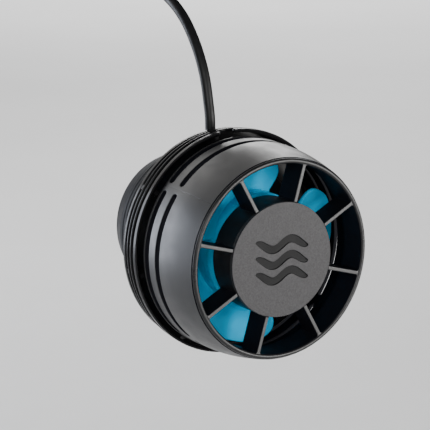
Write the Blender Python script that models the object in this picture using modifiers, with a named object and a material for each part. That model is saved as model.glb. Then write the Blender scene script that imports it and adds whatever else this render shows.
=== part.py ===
"""Wave maker pump that hangs on the inside of an aquarium pane by a magnet.

Units are metres, +Z is up. The origin is the centre of the face that touches the pane, the pump's
axis lies along Y, and the water leaves at the front, towards -Y. Turned parts are drawn as
(radius, depth) outlines, where depth is the distance behind the front rim, and they hang under one
empty whose own Z axis points out of the nozzle.
"""

from math import cos, pi, radians, sin, sqrt, tan

import bmesh
import bpy
from mathutils import Vector

# ---------------------------------------------------------------- driving dimensions
LENGTH = 0.087          # front rim to pane
GAP = 0.0003            # clearance between neighbouring pieces
SEGMENTS = 36           # sides of a large turned part
SMALL_SEGMENTS = 12     # sides of a small turned part

RIM_RADIUS = 0.042      # outer radius of the nozzle's front rim
MOUTH_RADIUS = 0.0398   # clear radius of the nozzle's mouth
NOZZLE_SWEEP = 0.0225   # depth where the sweep behind the rim runs out
NOZZLE_SWEEP_RADIUS = 0.0452
NOZZLE_REAR_RADIUS = 0.0455
NOZZLE_REAR = 0.0346    # depth of the nozzle shell's rear edge
NOZZLE_WALL = 0.0021
NOZZLE_STEP = 0.0200    # depth where the wall inside reaches its full radius
FLANGE_DEPTH = 0.0012   # the guide grille's flange that caps the nozzle
SLEEVE_RADIUS = 0.0413  # the grille's sleeve, which the nozzle slides over
SLEEVE_REAR = 0.0130

SLOT_DEPTHS = (0.0237, 0.0317)  # middle depth of the two rows of slots
SLOT_WIDTH = 0.0030
SLOT_CUT = (0.0425, 0.0470)     # radii between which the wall is cut away
BRIDGE_ANGLE = 140.7    # degrees, the first of the bridges between the slots
BRIDGE_COUNT = 4
BRIDGE_SPAN = 4.8       # degrees of wall left between two slots

VANE_COUNT = 8
VANE_ANGLE = 29.0       # degrees, the first vane
VANE_THICKNESS = 0.0016
VANE_FRONT = 0.0004
VANE_REAR = 0.0125
HUB_RADIUS = 0.0241     # the fixed hub in the mouth
HUB_REAR = 0.015
HUB_WALL = 0.0016
CAP_THICKNESS = 0.0012
EMBLEM_HEIGHTS = (0.0066, 0.0, -0.0066)  # the three waves, above the cap's middle
EMBLEM_DEPTH = 0.0005
EMBLEM_WAVE = 0.0019
EMBLEM_HALF_WIDTH = 0.0017
EMBLEM_HALF_LENGTH = 0.0128
BUSH_BOSS_RADIUS = 0.0055
BUSH_RADIUS = 0.0039    # pocket for the front shaft bush
BUSH_FRONT = 0.0050
BUSH_REAR = 0.0120

BLADE_COUNT = 3
BLADE_TIP_RADIUS = 0.0396
BLADE_MIDDLE_ANGLE = 111.0
BLADE_SPAN = 108.0      # degrees round the axis
BLADE_MIDDLE_DEPTH = 0.0238
BLADE_RISE = 0.0128     # axial travel of a blade from end to end
BLADE_THICKNESS = 0.0018
ROTOR_HUB_RADIUS = 0.0245
ROTOR_HUB_FRONT = 0.0160
ROTOR_HUB_REAR = 0.0345
ROTOR_HUB_WALL = 0.0018
ROTOR_HUB_ROUND = 0.0025
ROTOR_STEM_RADIUS = 0.0070
ROTOR_STEM_REAR = 0.0362

COLLAR_INNER = 0.0404   # collar that the nozzle twists onto
COLLAR_OUTER = 0.0430
COLLAR_FRONT = 0.0315
COLLAR_REAR = 0.0365
LUG_DEPTH = 0.0337      # middle depth of the bayonet lugs
LUG_RADIUS = 0.0430     # middle of the lugs
LUG_HEIGHT = 0.0022
LUG_LENGTH = 0.0013
LUG_SPAN = 4.0          # degrees, less than a bridge
BAYONET_DEPTH = 0.0014  # of the grooves that the lugs run in
BAYONET_CLEARANCE = 1.5     # degrees at each end of a groove
TWIST_RANGE = 20.0      # degrees the nozzle turns to unlock

# outer radius, inner radius, front depth and rear depth of each intake hoop
HOOPS = (
    (0.0483, 0.0466, 0.0352, 0.0384),
    (0.0480, 0.0464, 0.0402, 0.0417),
    (0.0475, 0.0460, 0.0436, 0.0450),
)
NOTCH_ANGLE = 94.3      # middle of the gap in the first hoop
NOTCH_SPAN = 7.4
BACK_PLATE_RADIUS = 0.0470
BACK_PLATE_FRONT = 0.0468
BACK_PLATE_REAR = 0.0494
RIB_COUNT = 8
RIB_ANGLE = 11.0
RIB_THICKNESS = 0.0020
RIB_INNER = 0.0412
RIB_OUTER = 0.0468

MOTOR_FRONT = 0.0366
MOTOR_NOSE_RADIUS = 0.0330
MOTOR_RADIUS = 0.0345
MOTOR_WALL = 0.0020
MOTOR_INNER = 0.0310
MOTOR_REAR = 0.0690
MOUNT_FLANGE_RADIUS = 0.0395
MOUNT_FLANGE_REAR = 0.0526
WELL_RADIUS = 0.0106    # the wet well that the rotor turns in
WELL_WALL = 0.0012
WELL_REAR = 0.0612
SHAFT_RADIUS = 0.0015
SHAFT_FRONT = 0.0073
SHAFT_REAR = 0.0655
SHAFT_POCKET_RADIUS = 0.0040
SHAFT_POCKET_REAR = 0.0660
BEARING_CLEARANCE = 0.00008

STATOR_INNER = 0.0123
STATOR_OUTER = 0.0235
STATOR_FRONT = 0.0410
STATOR_REAR = 0.0570
STATOR_YOKE = 0.0030
TOOTH_WIDTH = 0.0040
COIL_COUNT = 6
COIL_WALL = 0.0014
BOARD_FRONT = 0.0632
BOARD_REAR = 0.0648
SCREW_RADIUS = 0.0012
SCREW_HEAD_HEIGHT = 0.0014
COVER_SCREW_RADIUS = 0.0270
COVER_SCREW_ANGLE = 45.0
COVER_SCREW_TIP = 0.0580
COVER_SCREW_HEAD_RADIUS = 0.0026
CAGE_SCREW_RADIUS = 0.0368
CAGE_SCREW_ANGLE = 45.0
CAGE_SCREW_TIP = 0.0462
CAGE_SCREW_HEAD_RADIUS = 0.0022
SCREW_COUNT = 4
COVER_FRONT = 0.0676
COVER_REAR = 0.0713
SPIGOT_CLEARANCE = 0.0004
SEAL_FRONT = 0.0679
SEAL_REAR = 0.0690
SEAL_RADIUS = 0.00045

CUP_SHOULDER = 0.0740   # depth where the magnet housing begins to taper
CUP_REAR = 0.0862
CUP_REAR_RADIUS = 0.0294
CUP_WALL = 0.0020
CUP_FLOOR = 0.0016
PAD_RADIUS = 0.0268
PAD_FRONT = 0.0850
MAGNET_RADIUS = 0.0252
MAGNET_FRONT = 0.0751
MAGNET_REAR = 0.0826
YOKE_RADIUS = 0.0300
YOKE_FRONT = 0.0734
YOKE_REAR = 0.0748

CABLE_DIAMETER = 0.0045
CABLE_RADIUS = CABLE_DIAMETER / 2
CABLE_STEP = 0.010      # distance between the points of the cable's tube
GLAND_Y = 0.0558 - LENGTH
GLAND_TOP = 0.0434
COIL_TURN_RADIUS = 0.0250   # middle of the turns, eleven cable diameters across
COIL_CENTRE = (0.0250, 0.0330, 0.1078)
COIL_WIDTH = 3 * CABLE_DIAMETER + GAP
COIL_HEIGHT = 4 * CABLE_DIAMETER + GAP
TIE_ANGLE = 290.0       # degrees, where the tie holds the coil
PLUG_RADIUS = 0.0047
PLUG_NOSE_RADIUS = 0.0038
PLUG_LENGTH = 0.0200
PLUG_SOCKET = 0.0060    # depth of the socket in the plug's nose
RING_LENGTH = 0.0090
BOOT_LENGTH = 0.0100

# where the cable's middle runs, from the gland to the coil
CABLE_ROUTE = (
    (0.0, GLAND_Y, GLAND_TOP + GAP),
    (0.0, -0.0308, 0.0507),
    (0.0, -0.0296, 0.0562),
    (0.0, -0.0279, 0.0632),
    (0.0, -0.0254, 0.0698),
    (0.0, -0.0214, 0.0769),
    (0.0, -0.0166, 0.0832),
    (0.0, -0.0107, 0.0891),
    (0.0, -0.0038, 0.0938),
    (0.0, 0.0030, 0.0970),
    (0.0, 0.0098, 0.0993),
)
# from the top of the coil to the plug, over the turns
TAIL_ROUTE = (
    (0.0105, 0.0590, 0.1194),
    (0.0210, 0.0620, 0.1195),
    (0.0310, 0.0600, 0.1198),
    (0.0400, 0.0550, 0.1203),
    (0.0460, 0.0480, 0.1214),
    (0.0485, 0.0420, 0.1220),
    (0.0490, 0.0370, 0.1222),
)

# ---------------------------------------------------------------- scene set-up
for old in list(bpy.data.objects):
    bpy.data.objects.remove(old)

parts = bpy.data.collections.new("wave_maker_pump")
cutters = bpy.data.collections.new("cutters")
bpy.context.scene.collection.children.link(parts)
bpy.context.scene.collection.children.link(cutters)

axis = bpy.data.objects.new("pump_axis", None)
axis.rotation_euler = (pi / 2, 0, 0)
parts.objects.link(axis)


def material(name, colour, roughness, metallic=0.0):
    """A Principled BSDF material; colour is linear RGB."""
    made = bpy.data.materials.new(name)
    made.use_nodes = True
    shader = made.node_tree.nodes["Principled BSDF"]
    shader.inputs["Base Color"].default_value = (*colour, 1.0)
    shader.inputs["Roughness"].default_value = roughness
    shader.inputs["Metallic"].default_value = metallic
    made.diffuse_color = (*colour, 1.0)
    return made


SHELL_PLASTIC = material("shell_plastic", (0.055, 0.055, 0.062), 0.42)
CAP_PLASTIC = material("cap_plastic", (0.115, 0.112, 0.120), 0.50)
CAGE_PLASTIC = material("cage_plastic", (0.030, 0.030, 0.034), 0.45)
MOTOR_PLASTIC = material("motor_plastic", (0.035, 0.035, 0.040), 0.45)
BLADE_PLASTIC = material("blade_plastic", (0.004, 0.340, 0.560), 0.22)
RUBBER = material("rubber", (0.015, 0.015, 0.016), 0.80)
CABLE_JACKET = material("cable_jacket", (0.011, 0.011, 0.012), 0.45)
CERAMIC = material("ceramic", (0.80, 0.79, 0.75), 0.30)
MAGNET_ALLOY = material("magnet_alloy", (0.28, 0.28, 0.30), 0.30, 1.0)
STEEL = material("steel", (0.52, 0.52, 0.54), 0.35, 1.0)
COPPER = material("copper", (0.60, 0.24, 0.09), 0.35, 1.0)
BOARD = material("board", (0.015, 0.110, 0.045), 0.55)
BRASS = material("brass", (0.70, 0.50, 0.20), 0.30, 1.0)
POLYMER_WASHER = material("polymer_washer", (0.55, 0.53, 0.47), 0.50)


# ---------------------------------------------------------------- modelling helpers
def add(name, mesh, finish, collection=parts, parent=axis):
    """Put a mesh in the scene as an object; without a finish it is a cutter or a building block."""
    made = bpy.data.objects.new(name, mesh)
    collection.objects.link(made)
    made.parent = parent
    if finish:
        mesh.materials.append(finish)
    else:
        made.hide_render = True
        made.display_type = "WIRE"
    return made


def rounded(outline, arc_steps=2):
    """Replace each (radius, depth, fillet) corner of a closed outline by an arc."""
    points = []
    for i, corner in enumerate(outline):
        here = Vector(corner[:2])
        if len(corner) == 2:
            points.append(here)
            continue
        before = (Vector(outline[i - 1][:2]) - here).normalized()
        after = (Vector(outline[(i + 1) % len(outline)][:2]) - here).normalized()
        half = before.angle(after) / 2
        reach = corner[2] / tan(half)
        start, end = here + before * reach, here + after * reach
        centre = here + (before + after).normalized() * (corner[2] / sin(half))
        for k in range(arc_steps + 1):
            way = start.lerp(end, k / arc_steps) - centre
            points.append(centre + way.normalized() * corner[2])
    return points


def turned(name, outline, finish, segments=SEGMENTS, closed=True, parent=axis):
    """A turned part. The outline runs from front to rear on the outside, then back inside."""
    mesh = bpy.data.meshes.new(name)
    points = [(p[0], 0.0, LENGTH - p[1]) for p in rounded(outline)]
    edges = [(i, i + 1) for i in range(len(points) - 1)]
    if closed:
        edges.append((len(points) - 1, 0))
    mesh.from_pydata(points, edges, [])
    made = add(name, mesh, finish, parts if finish else cutters, parent)
    screw = made.modifiers.new("Screw", "SCREW")
    screw.axis = "Z"
    screw.steps = segments
    screw.render_steps = segments
    screw.use_merge_vertices = True
    screw.merge_threshold = 0.00001
    screw.use_smooth_shade = True
    return made


def solid(name, outline, finish, segments=SEGMENTS):
    """A turned part without a bore: its outline starts and ends on the axis."""
    return turned(name, outline, finish, segments, closed=False)


def tube(name, outer, inner, front, rear, finish, segments=SEGMENTS):
    """A plain sleeve or ring."""
    outline = ((outer, front), (outer, rear), (inner, rear), (inner, front))
    return turned(name, outline, finish, segments)


def disc(name, radius, front, rear, finish, segments=SEGMENTS):
    """A plain disc or rod."""
    outline = ((0.0, front), (radius, front), (radius, rear), (0.0, rear))
    return solid(name, outline, finish, segments)


def block(name, size, place, turn=0.0, finish=None):
    """A box in the axis frame: size and place as (radial, across, axial), turned about the axis."""
    mesh = bpy.data.meshes.new(name)
    box = bmesh.new()
    bmesh.ops.create_cube(box, size=1.0)
    bmesh.ops.scale(box, vec=size, verts=box.verts)
    bmesh.ops.translate(box, vec=(place[0], place[1], LENGTH - place[2]), verts=box.verts)
    box.to_mesh(mesh)
    box.free()
    made = add(name, mesh, finish, parts if finish else cutters)
    made.rotation_euler = (0, 0, radians(turn))
    return made


def rod(name, radius, place, front, rear, finish=None, segments=SMALL_SEGMENTS):
    """A round bar parallel to the axis, with its middle at (x, y) in the axis frame."""
    mesh = bpy.data.meshes.new(name)
    bar = bmesh.new()
    bmesh.ops.create_cone(
        bar, cap_ends=True, segments=segments, radius1=radius, radius2=radius, depth=rear - front
    )
    bmesh.ops.translate(bar, vec=(*place, LENGTH - (front + rear) / 2), verts=bar.verts)
    bar.to_mesh(mesh)
    bar.free()
    return add(name, mesh, finish, parts if finish else cutters)


def sector(name, radii, depths, angles, end_round=0.0):
    """A curved block that follows the axis between two angles, for slots and grooves.

    end_round is the radius of its rounded ends, which is half the block's axial width.
    """
    inner, outer = radii
    front, rear = depths
    first, last = (radians(a) for a in angles)
    stations = [(first + (last - first) * i / 6, 1.0) for i in range(7)]
    if end_round:
        turn = end_round / outer
        ease = [(1 - cos(pi / 2 * k / 3), sin(pi / 2 * max(k, 0.3) / 3)) for k in range(3)]
        lead = [(first + turn * way, width) for way, width in ease]
        trail = [(last - turn * way, width) for way, width in reversed(ease)]
        body = [(first + turn + (last - first - 2 * turn) * i / 8, 1.0) for i in range(9)]
        stations = lead + body + trail
    middle, half = LENGTH - (front + rear) / 2, (rear - front) / 2
    shape = bmesh.new()
    rings = []
    for angle, width in stations:
        corners = ((inner, 1), (outer, 1), (outer, -1), (inner, -1))
        rings.append([
            shape.verts.new((r * cos(angle), r * sin(angle), middle + side * half * width))
            for r, side in corners
        ])
    for here, there in zip(rings, rings[1:]):
        for i in range(4):
            j = (i + 1) % 4
            shape.faces.new((here[i], here[j], there[j], there[i]))
    shape.faces.new(rings[0][::-1])
    shape.faces.new(rings[-1])
    bmesh.ops.recalc_face_normals(shape, faces=shape.faces)
    mesh = bpy.data.meshes.new(name)
    shape.to_mesh(mesh)
    shape.free()
    return add(name, mesh, None, cutters)


def combine(target, tool, operation):
    """Join a tool to a part, or cut it out of the part."""
    change = target.modifiers.new(operation.title(), "BOOLEAN")
    change.operation = operation
    change.solver = "EXACT"
    change.object = tool


def join(target, *tools):
    for tool in tools:
        combine(target, tool, "UNION")


def cut(target, *tools):
    for tool in tools:
        combine(target, tool, "DIFFERENCE")


def around(count, first):
    """Angles in degrees, spread evenly round the axis."""
    return [first + 360.0 * i / count for i in range(count)]


def polar(radius, angle):
    """A point in the axis frame at that radius and angle in degrees."""
    return radius * cos(radians(angle)), radius * sin(radians(angle))


def smooth_line(route, step):
    """Points about a step apart on a smooth curve (Catmull-Rom) through a route's points."""
    knots = [Vector(p) for p in route]
    knots = [2 * knots[0] - knots[1], *knots, 2 * knots[-1] - knots[-2]]
    line = []
    for a, b, c, d in zip(knots, knots[1:], knots[2:], knots[3:]):
        pieces = max(1, round((c - b).length / step))
        for k in range(pieces):
            t = k / pieces
            bend = (2 * a - 5 * b + 4 * c - d) * t * t + (3 * b - a - 3 * c + d) * t * t * t
            line.append((2 * b + (c - a) * t + bend) / 2)
    line.append(knots[-2])
    return line


def cable_tube(name, route):
    """A plain tube of the cable's diameter along a route."""
    curve = bpy.data.curves.new(name, "CURVE")
    curve.dimensions = "3D"
    curve.bevel_depth = CABLE_RADIUS
    curve.bevel_resolution = 2
    curve.use_fill_caps = True
    line = smooth_line(route, CABLE_STEP)
    spline = curve.splines.new("POLY")
    spline.points.add(len(line) - 1)
    for point, place in zip(spline.points, line):
        point.co = (*place, 1.0)
    return add(name, curve, CABLE_JACKET, parent=None)


# ---------------------------------------------------------------- twist-off front: nozzle, grille
def nozzle_radius(depth):
    """Outer radius of the nozzle shell: a shallow convex sweep from the rim to the slots."""
    if depth >= NOZZLE_SWEEP:
        way = (depth - NOZZLE_SWEEP) / (NOZZLE_REAR - NOZZLE_SWEEP)
        return NOZZLE_SWEEP_RADIUS + (NOZZLE_REAR_RADIUS - NOZZLE_SWEEP_RADIUS) * way
    return RIM_RADIUS + (NOZZLE_SWEEP_RADIUS - RIM_RADIUS) * sin(pi / 2 * depth / NOZZLE_SWEEP)


def make_nozzle_shell():
    front = FLANGE_DEPTH + GAP
    depths = [front + (NOZZLE_REAR - front) * i / 7 for i in range(8)]
    outside = [(nozzle_radius(d), d) for d in depths]
    seat = SLEEVE_RADIUS + GAP
    inside = [
        (NOZZLE_REAR_RADIUS - NOZZLE_WALL, NOZZLE_REAR),
        (NOZZLE_SWEEP_RADIUS - NOZZLE_WALL, NOZZLE_STEP),
        (seat, SLEEVE_REAR + GAP),
        (seat, front),
    ]
    shell = turned("nozzle_shell", outside + inside, SHELL_PLASTIC)
    reach = 360.0 / BRIDGE_COUNT
    for row, depth in enumerate(SLOT_DEPTHS):
        for i, bridge in enumerate(around(BRIDGE_COUNT, BRIDGE_ANGLE)):
            angles = (bridge + BRIDGE_SPAN / 2, bridge + reach - BRIDGE_SPAN / 2)
            depths = (depth - SLOT_WIDTH / 2, depth + SLOT_WIDTH / 2)
            name = f"slot_cutter_{row + 1}_{i + 1}"
            cut(shell, sector(name, SLOT_CUT, depths, angles, SLOT_WIDTH / 2))
    size = (LUG_HEIGHT, (LUG_RADIUS - LUG_HEIGHT / 2) * radians(LUG_SPAN), LUG_LENGTH)
    for i, angle in enumerate(around(BRIDGE_COUNT, BRIDGE_ANGLE)):
        join(shell, block(f"lug_{i + 1}", size, (LUG_RADIUS, 0, LUG_DEPTH), angle))


def make_guide_grille():
    ring = (
        (RIM_RADIUS, 0.0, 0.0004),
        (RIM_RADIUS, FLANGE_DEPTH),
        (SLEEVE_RADIUS, FLANGE_DEPTH),
        (SLEEVE_RADIUS, SLEEVE_REAR),
        (MOUTH_RADIUS, SLEEVE_REAR),
        (MOUTH_RADIUS, 0.0, 0.0004),
    )
    grille = turned("guide_grille", ring, SHELL_PLASTIC)
    front = CAP_THICKNESS + GAP
    vent = 0.0012
    hub = turned("grille_hub", (
        (HUB_RADIUS, front),
        (HUB_RADIUS, HUB_REAR, 0.0006),
        (HUB_RADIUS - HUB_WALL, HUB_REAR),
        (HUB_RADIUS - HUB_WALL, front + HUB_WALL),
        (BUSH_BOSS_RADIUS, front + HUB_WALL),
        (BUSH_BOSS_RADIUS, BUSH_REAR),
        (BUSH_RADIUS, BUSH_REAR),
        (BUSH_RADIUS, BUSH_FRONT),
        (vent, BUSH_FRONT),
        (vent, front),
    ), None)
    overlap = 0.0008
    inner, outer = HUB_RADIUS - overlap, MOUTH_RADIUS + overlap
    size = (outer - inner, VANE_THICKNESS, VANE_REAR - VANE_FRONT)
    place = ((inner + outer) / 2, 0, (VANE_FRONT + VANE_REAR) / 2)
    join(grille, hub)
    for i, angle in enumerate(around(VANE_COUNT, VANE_ANGLE)):
        join(grille, block(f"vane_{i + 1}", size, place, angle))
    clear = disc("cap_seat_cutter", HUB_RADIUS + GAP, -0.001, front, None)
    cut(grille, clear)


def wave_band(name, height):
    """A wavy bar, the sunk emblem's cutter, lying across the cap at a height above its middle."""
    shape = bmesh.new()
    steps = 10
    rings = []
    for i in range(steps + 1):
        way = 2 * i / steps - 1
        x = EMBLEM_HALF_LENGTH * way
        y = height + EMBLEM_WAVE * sin(3 * pi * way / 2)
        taper = EMBLEM_HALF_WIDTH * sqrt(max(0.04, 1 - way ** 4))
        rings.append([
            shape.verts.new((x, y + side * taper, LENGTH + level))
            for side, level in ((-1, 0.001), (1, 0.001), (1, -EMBLEM_DEPTH), (-1, -EMBLEM_DEPTH))
        ])
    for here, there in zip(rings, rings[1:]):
        for i in range(4):
            j = (i + 1) % 4
            shape.faces.new((here[i], here[j], there[j], there[i]))
    shape.faces.new(rings[0][::-1])
    shape.faces.new(rings[-1])
    bmesh.ops.recalc_face_normals(shape, faces=shape.faces)
    mesh = bpy.data.meshes.new(name)
    shape.to_mesh(mesh)
    shape.free()
    return add(name, mesh, None, cutters)


def make_hub_cap():
    """The flush disc on the hub, with a sunk emblem of three plain waves."""
    cap = solid("hub_cap", (
        (0.0, 0.0),
        (HUB_RADIUS, 0.0, 0.0002),
        (HUB_RADIUS, CAP_THICKNESS),
        (0.0, CAP_THICKNESS),
    ), CAP_PLASTIC)
    for i, height in enumerate(EMBLEM_HEIGHTS):
        cut(cap, wave_band(f"wave_cutter_{i + 1}", height))


def make_front_shaft_bush():
    tube(
        "front_shaft_bush", BUSH_RADIUS - GAP, SHAFT_RADIUS + GAP, BUSH_FRONT + GAP,
        BUSH_REAR - GAP, RUBBER, SMALL_SEGMENTS,
    )


# ---------------------------------------------------------------- propeller and rotor
def blade(name, middle):
    """One wide blade with a round tip: a curved sheet made solid."""
    across, out = 10, 5
    root = ROTOR_HUB_RADIUS - 0.0009
    reach = BLADE_TIP_RADIUS - root
    sheet = bmesh.new()
    rows = []
    for j in range(out + 1):
        way = j / out
        outward = sin(pi / 2 * way)
        radius = root + reach * outward
        ends = 1 - 0.07 * (1 - outward) ** 2 - 0.30 * outward ** 5
        spread = radians(BLADE_SPAN / 2) * ends
        row = []
        for i in range(across + 1):
            side = 2 * i / across - 1
            angle = radians(middle) + side * spread
            depth = BLADE_MIDDLE_DEPTH - BLADE_RISE / 2 * side * ends
            row.append(sheet.verts.new((radius * cos(angle), radius * sin(angle), LENGTH - depth)))
        rows.append(row)
    for here, there in zip(rows, rows[1:]):
        for i in range(across):
            sheet.faces.new((here[i], there[i], there[i + 1], here[i + 1]))
    mesh = bpy.data.meshes.new(name)
    sheet.to_mesh(mesh)
    sheet.free()
    made = add(name, mesh, None, cutters)
    thick = made.modifiers.new("Solidify", "SOLIDIFY")
    thick.thickness = BLADE_THICKNESS
    thick.offset = 0.0
    return made


def make_propeller():
    bore = SHAFT_RADIUS + GAP
    inner = ROTOR_HUB_RADIUS - ROTOR_HUB_WALL
    floor = ROTOR_HUB_FRONT + ROTOR_HUB_ROUND
    hub = turned("propeller", (
        (ROTOR_HUB_RADIUS, ROTOR_HUB_FRONT, ROTOR_HUB_ROUND),
        (ROTOR_HUB_RADIUS, ROTOR_HUB_REAR),
        (inner, ROTOR_HUB_REAR),
        (inner, floor),
        (ROTOR_STEM_RADIUS, floor),
        (ROTOR_STEM_RADIUS, ROTOR_STEM_REAR),
        (bore, ROTOR_STEM_REAR),
        (bore, ROTOR_HUB_FRONT),
    ), BLADE_PLASTIC)
    for i, middle in enumerate(around(BLADE_COUNT, BLADE_MIDDLE_ANGLE)):
        join(hub, blade(f"blade_{i + 1}", middle))


def make_rotor():
    """Magnet, its sleeve and end cap, the bearing in its bore and the two thrust washers."""
    bore = SHAFT_RADIUS + GAP
    turned("rotor_sleeve", (
        (0.0098, 0.0365),
        (0.0098, 0.0592),
        (0.0090, 0.0592),
        (0.0090, 0.0382),
        (bore, 0.0382),
        (bore, 0.0365),
    ), POLYMER_WASHER, 32)
    tube("rotor_magnet", 0.0087, 0.0031, 0.0385, 0.0577, MAGNET_ALLOY, 32)
    tube("rotor_end_cap", 0.0087, 0.0031, 0.0580, 0.0592, POLYMER_WASHER, 32)
    liner = SHAFT_RADIUS + BEARING_CLEARANCE
    tube("rotor_bearing", 0.0028, liner, 0.0385, 0.0592, CERAMIC, SMALL_SEGMENTS)
    tube("front_thrust_washer", 0.0042, bore, 0.0148, 0.0157, POLYMER_WASHER, SMALL_SEGMENTS)
    tube("rear_thrust_washer", 0.0042, bore, 0.0596, 0.0605, POLYMER_WASHER, SMALL_SEGMENTS)


# ---------------------------------------------------------------- intake cage
def make_intake_cage():
    """Hoops on ribs between the twist collar and the back plate; water enters between them."""
    cage = tube(
        "intake_cage", COLLAR_OUTER, COLLAR_INNER, COLLAR_FRONT, COLLAR_REAR, CAGE_PLASTIC
    )
    plate = turned("back_plate", (
        (BACK_PLATE_RADIUS, BACK_PLATE_FRONT),
        (BACK_PLATE_RADIUS, BACK_PLATE_REAR, 0.0012),
        (MOTOR_NOSE_RADIUS + GAP, BACK_PLATE_REAR),
        (MOTOR_NOSE_RADIUS + GAP, BACK_PLATE_FRONT),
    ), None)
    front, rear = HOOPS[0][2] + 0.0003, BACK_PLATE_FRONT + 0.0011
    size = (RIB_OUTER - RIB_INNER, RIB_THICKNESS, rear - front)
    place = ((RIB_INNER + RIB_OUTER) / 2, 0, (front + rear) / 2)
    join(cage, *(
        block(f"rib_{i + 1}", size, place, angle)
        for i, angle in enumerate(around(RIB_COUNT, RIB_ANGLE))
    ))
    join(cage, plate)
    for i, (outer, inner, front, rear) in enumerate(HOOPS):
        hoop = turned(f"hoop_{i + 1}", (
            (outer, front), (outer, rear), (inner, rear), (inner, front)
        ), None)
        join(cage, hoop)
    notch_angles = (NOTCH_ANGLE - NOTCH_SPAN / 2, NOTCH_ANGLE + NOTCH_SPAN / 2)
    cut(cage, sector("hoop_notch_cutter", (0.0462, 0.0495), (0.0345, 0.0392), notch_angles))
    groove = (COLLAR_OUTER - BAYONET_DEPTH, COLLAR_OUTER + 0.002)
    clear = LUG_SPAN / 2 + BAYONET_CLEARANCE
    for i, angle in enumerate(around(BRIDGE_COUNT, BRIDGE_ANGLE)):
        depths = (LUG_DEPTH - 0.0011, LUG_DEPTH + 0.0013)
        run = (angle - clear, angle + TWIST_RANGE + clear)
        cut(cage, sector(f"bayonet_run_cutter_{i + 1}", groove, depths, run))
        entry = (angle + TWIST_RANGE - clear, angle + TWIST_RANGE + clear)
        depths = (COLLAR_FRONT - 0.001, LUG_DEPTH)
        cut(cage, sector(f"bayonet_entry_cutter_{i + 1}", groove, depths, entry))
    for i, angle in enumerate(around(SCREW_COUNT, CAGE_SCREW_ANGLE)):
        place = polar(CAGE_SCREW_RADIUS, angle)
        depths = (BACK_PLATE_FRONT - 0.001, BACK_PLATE_REAR + 0.001)
        cut(cage, rod(f"cage_hole_cutter_{i + 1}", SCREW_RADIUS + GAP, place, *depths))


# ---------------------------------------------------------------- motor
def make_motor_housing():
    """The dry can: a wet well for the rotor in the front, screw posts inside, open at the rear."""
    well_outer = WELL_RADIUS + WELL_WALL
    pocket_outer = SHAFT_POCKET_RADIUS + WELL_WALL
    housing = solid("motor_housing", (
        (0.0, SHAFT_POCKET_REAR),
        (SHAFT_POCKET_RADIUS, SHAFT_POCKET_REAR),
        (SHAFT_POCKET_RADIUS, WELL_REAR),
        (WELL_RADIUS, WELL_REAR),
        (WELL_RADIUS, MOTOR_FRONT),
        (MOTOR_NOSE_RADIUS, MOTOR_FRONT, 0.0012),
        (MOTOR_NOSE_RADIUS, BACK_PLATE_REAR + GAP),
        (MOUNT_FLANGE_RADIUS, BACK_PLATE_REAR + GAP),
        (MOUNT_FLANGE_RADIUS, MOUNT_FLANGE_REAR, 0.0008),
        (MOTOR_RADIUS, MOUNT_FLANGE_REAR),
        (MOTOR_RADIUS, MOTOR_REAR),
        (MOTOR_INNER, MOTOR_REAR),
        (MOTOR_INNER, MOTOR_FRONT + MOTOR_WALL),
        (well_outer, MOTOR_FRONT + MOTOR_WALL),
        (well_outer, WELL_REAR + WELL_WALL),
        (pocket_outer, WELL_REAR + WELL_WALL),
        (pocket_outer, SHAFT_POCKET_REAR + WELL_WALL),
        (0.0, SHAFT_POCKET_REAR + WELL_WALL),
    ), MOTOR_PLASTIC)
    for i, angle in enumerate(around(SCREW_COUNT, COVER_SCREW_ANGLE)):
        place = polar(COVER_SCREW_RADIUS, angle)
        post = rod(f"post_{i + 1}", 0.0031, place, MOTOR_FRONT + 0.001, COVER_FRONT - 0.0008)
        join(housing, post)
        depths = (COVER_SCREW_TIP - 0.0005, MOTOR_REAR + 0.001)
        cut(housing, rod(f"post_hole_cutter_{i + 1}", SCREW_RADIUS + GAP, place, *depths))
    for i, angle in enumerate(around(SCREW_COUNT, CAGE_SCREW_ANGLE)):
        place = polar(CAGE_SCREW_RADIUS, angle)
        depths = (BACK_PLATE_REAR - 0.001, MOUNT_FLANGE_REAR + 0.001)
        cut(housing, rod(f"flange_hole_cutter_{i + 1}", SCREW_RADIUS + GAP, place, *depths))
    cut(housing, gland_cutter("gland_hole_cutter", 0.0040, 0.0280, 0.0360))
    cut(housing, gland_cutter("gland_seat_cutter", 0.0066, MOTOR_RADIUS + 0.0002, 0.0420))


def gland_cutter(name, radius, bottom, top):
    """An upright round cutter in line with the cable gland on top of the motor housing."""
    mesh = bpy.data.meshes.new(name)
    hole = bmesh.new()
    bmesh.ops.create_cone(
        hole, cap_ends=True, segments=SMALL_SEGMENTS, radius1=radius, radius2=radius,
        depth=top - bottom,
    )
    hole.to_mesh(mesh)
    hole.free()
    made = add(name, mesh, None, cutters, parent=None)
    made.location = (0, GLAND_Y, (top + bottom) / 2)
    return made


def make_shaft():
    disc("ceramic_shaft", SHAFT_RADIUS, SHAFT_FRONT, SHAFT_REAR, CERAMIC, SMALL_SEGMENTS)
    tube(
        "rear_shaft_bush", 0.0037, SHAFT_RADIUS + GAP, WELL_REAR + GAP, 0.0657, RUBBER,
        SMALL_SEGMENTS,
    )


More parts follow.
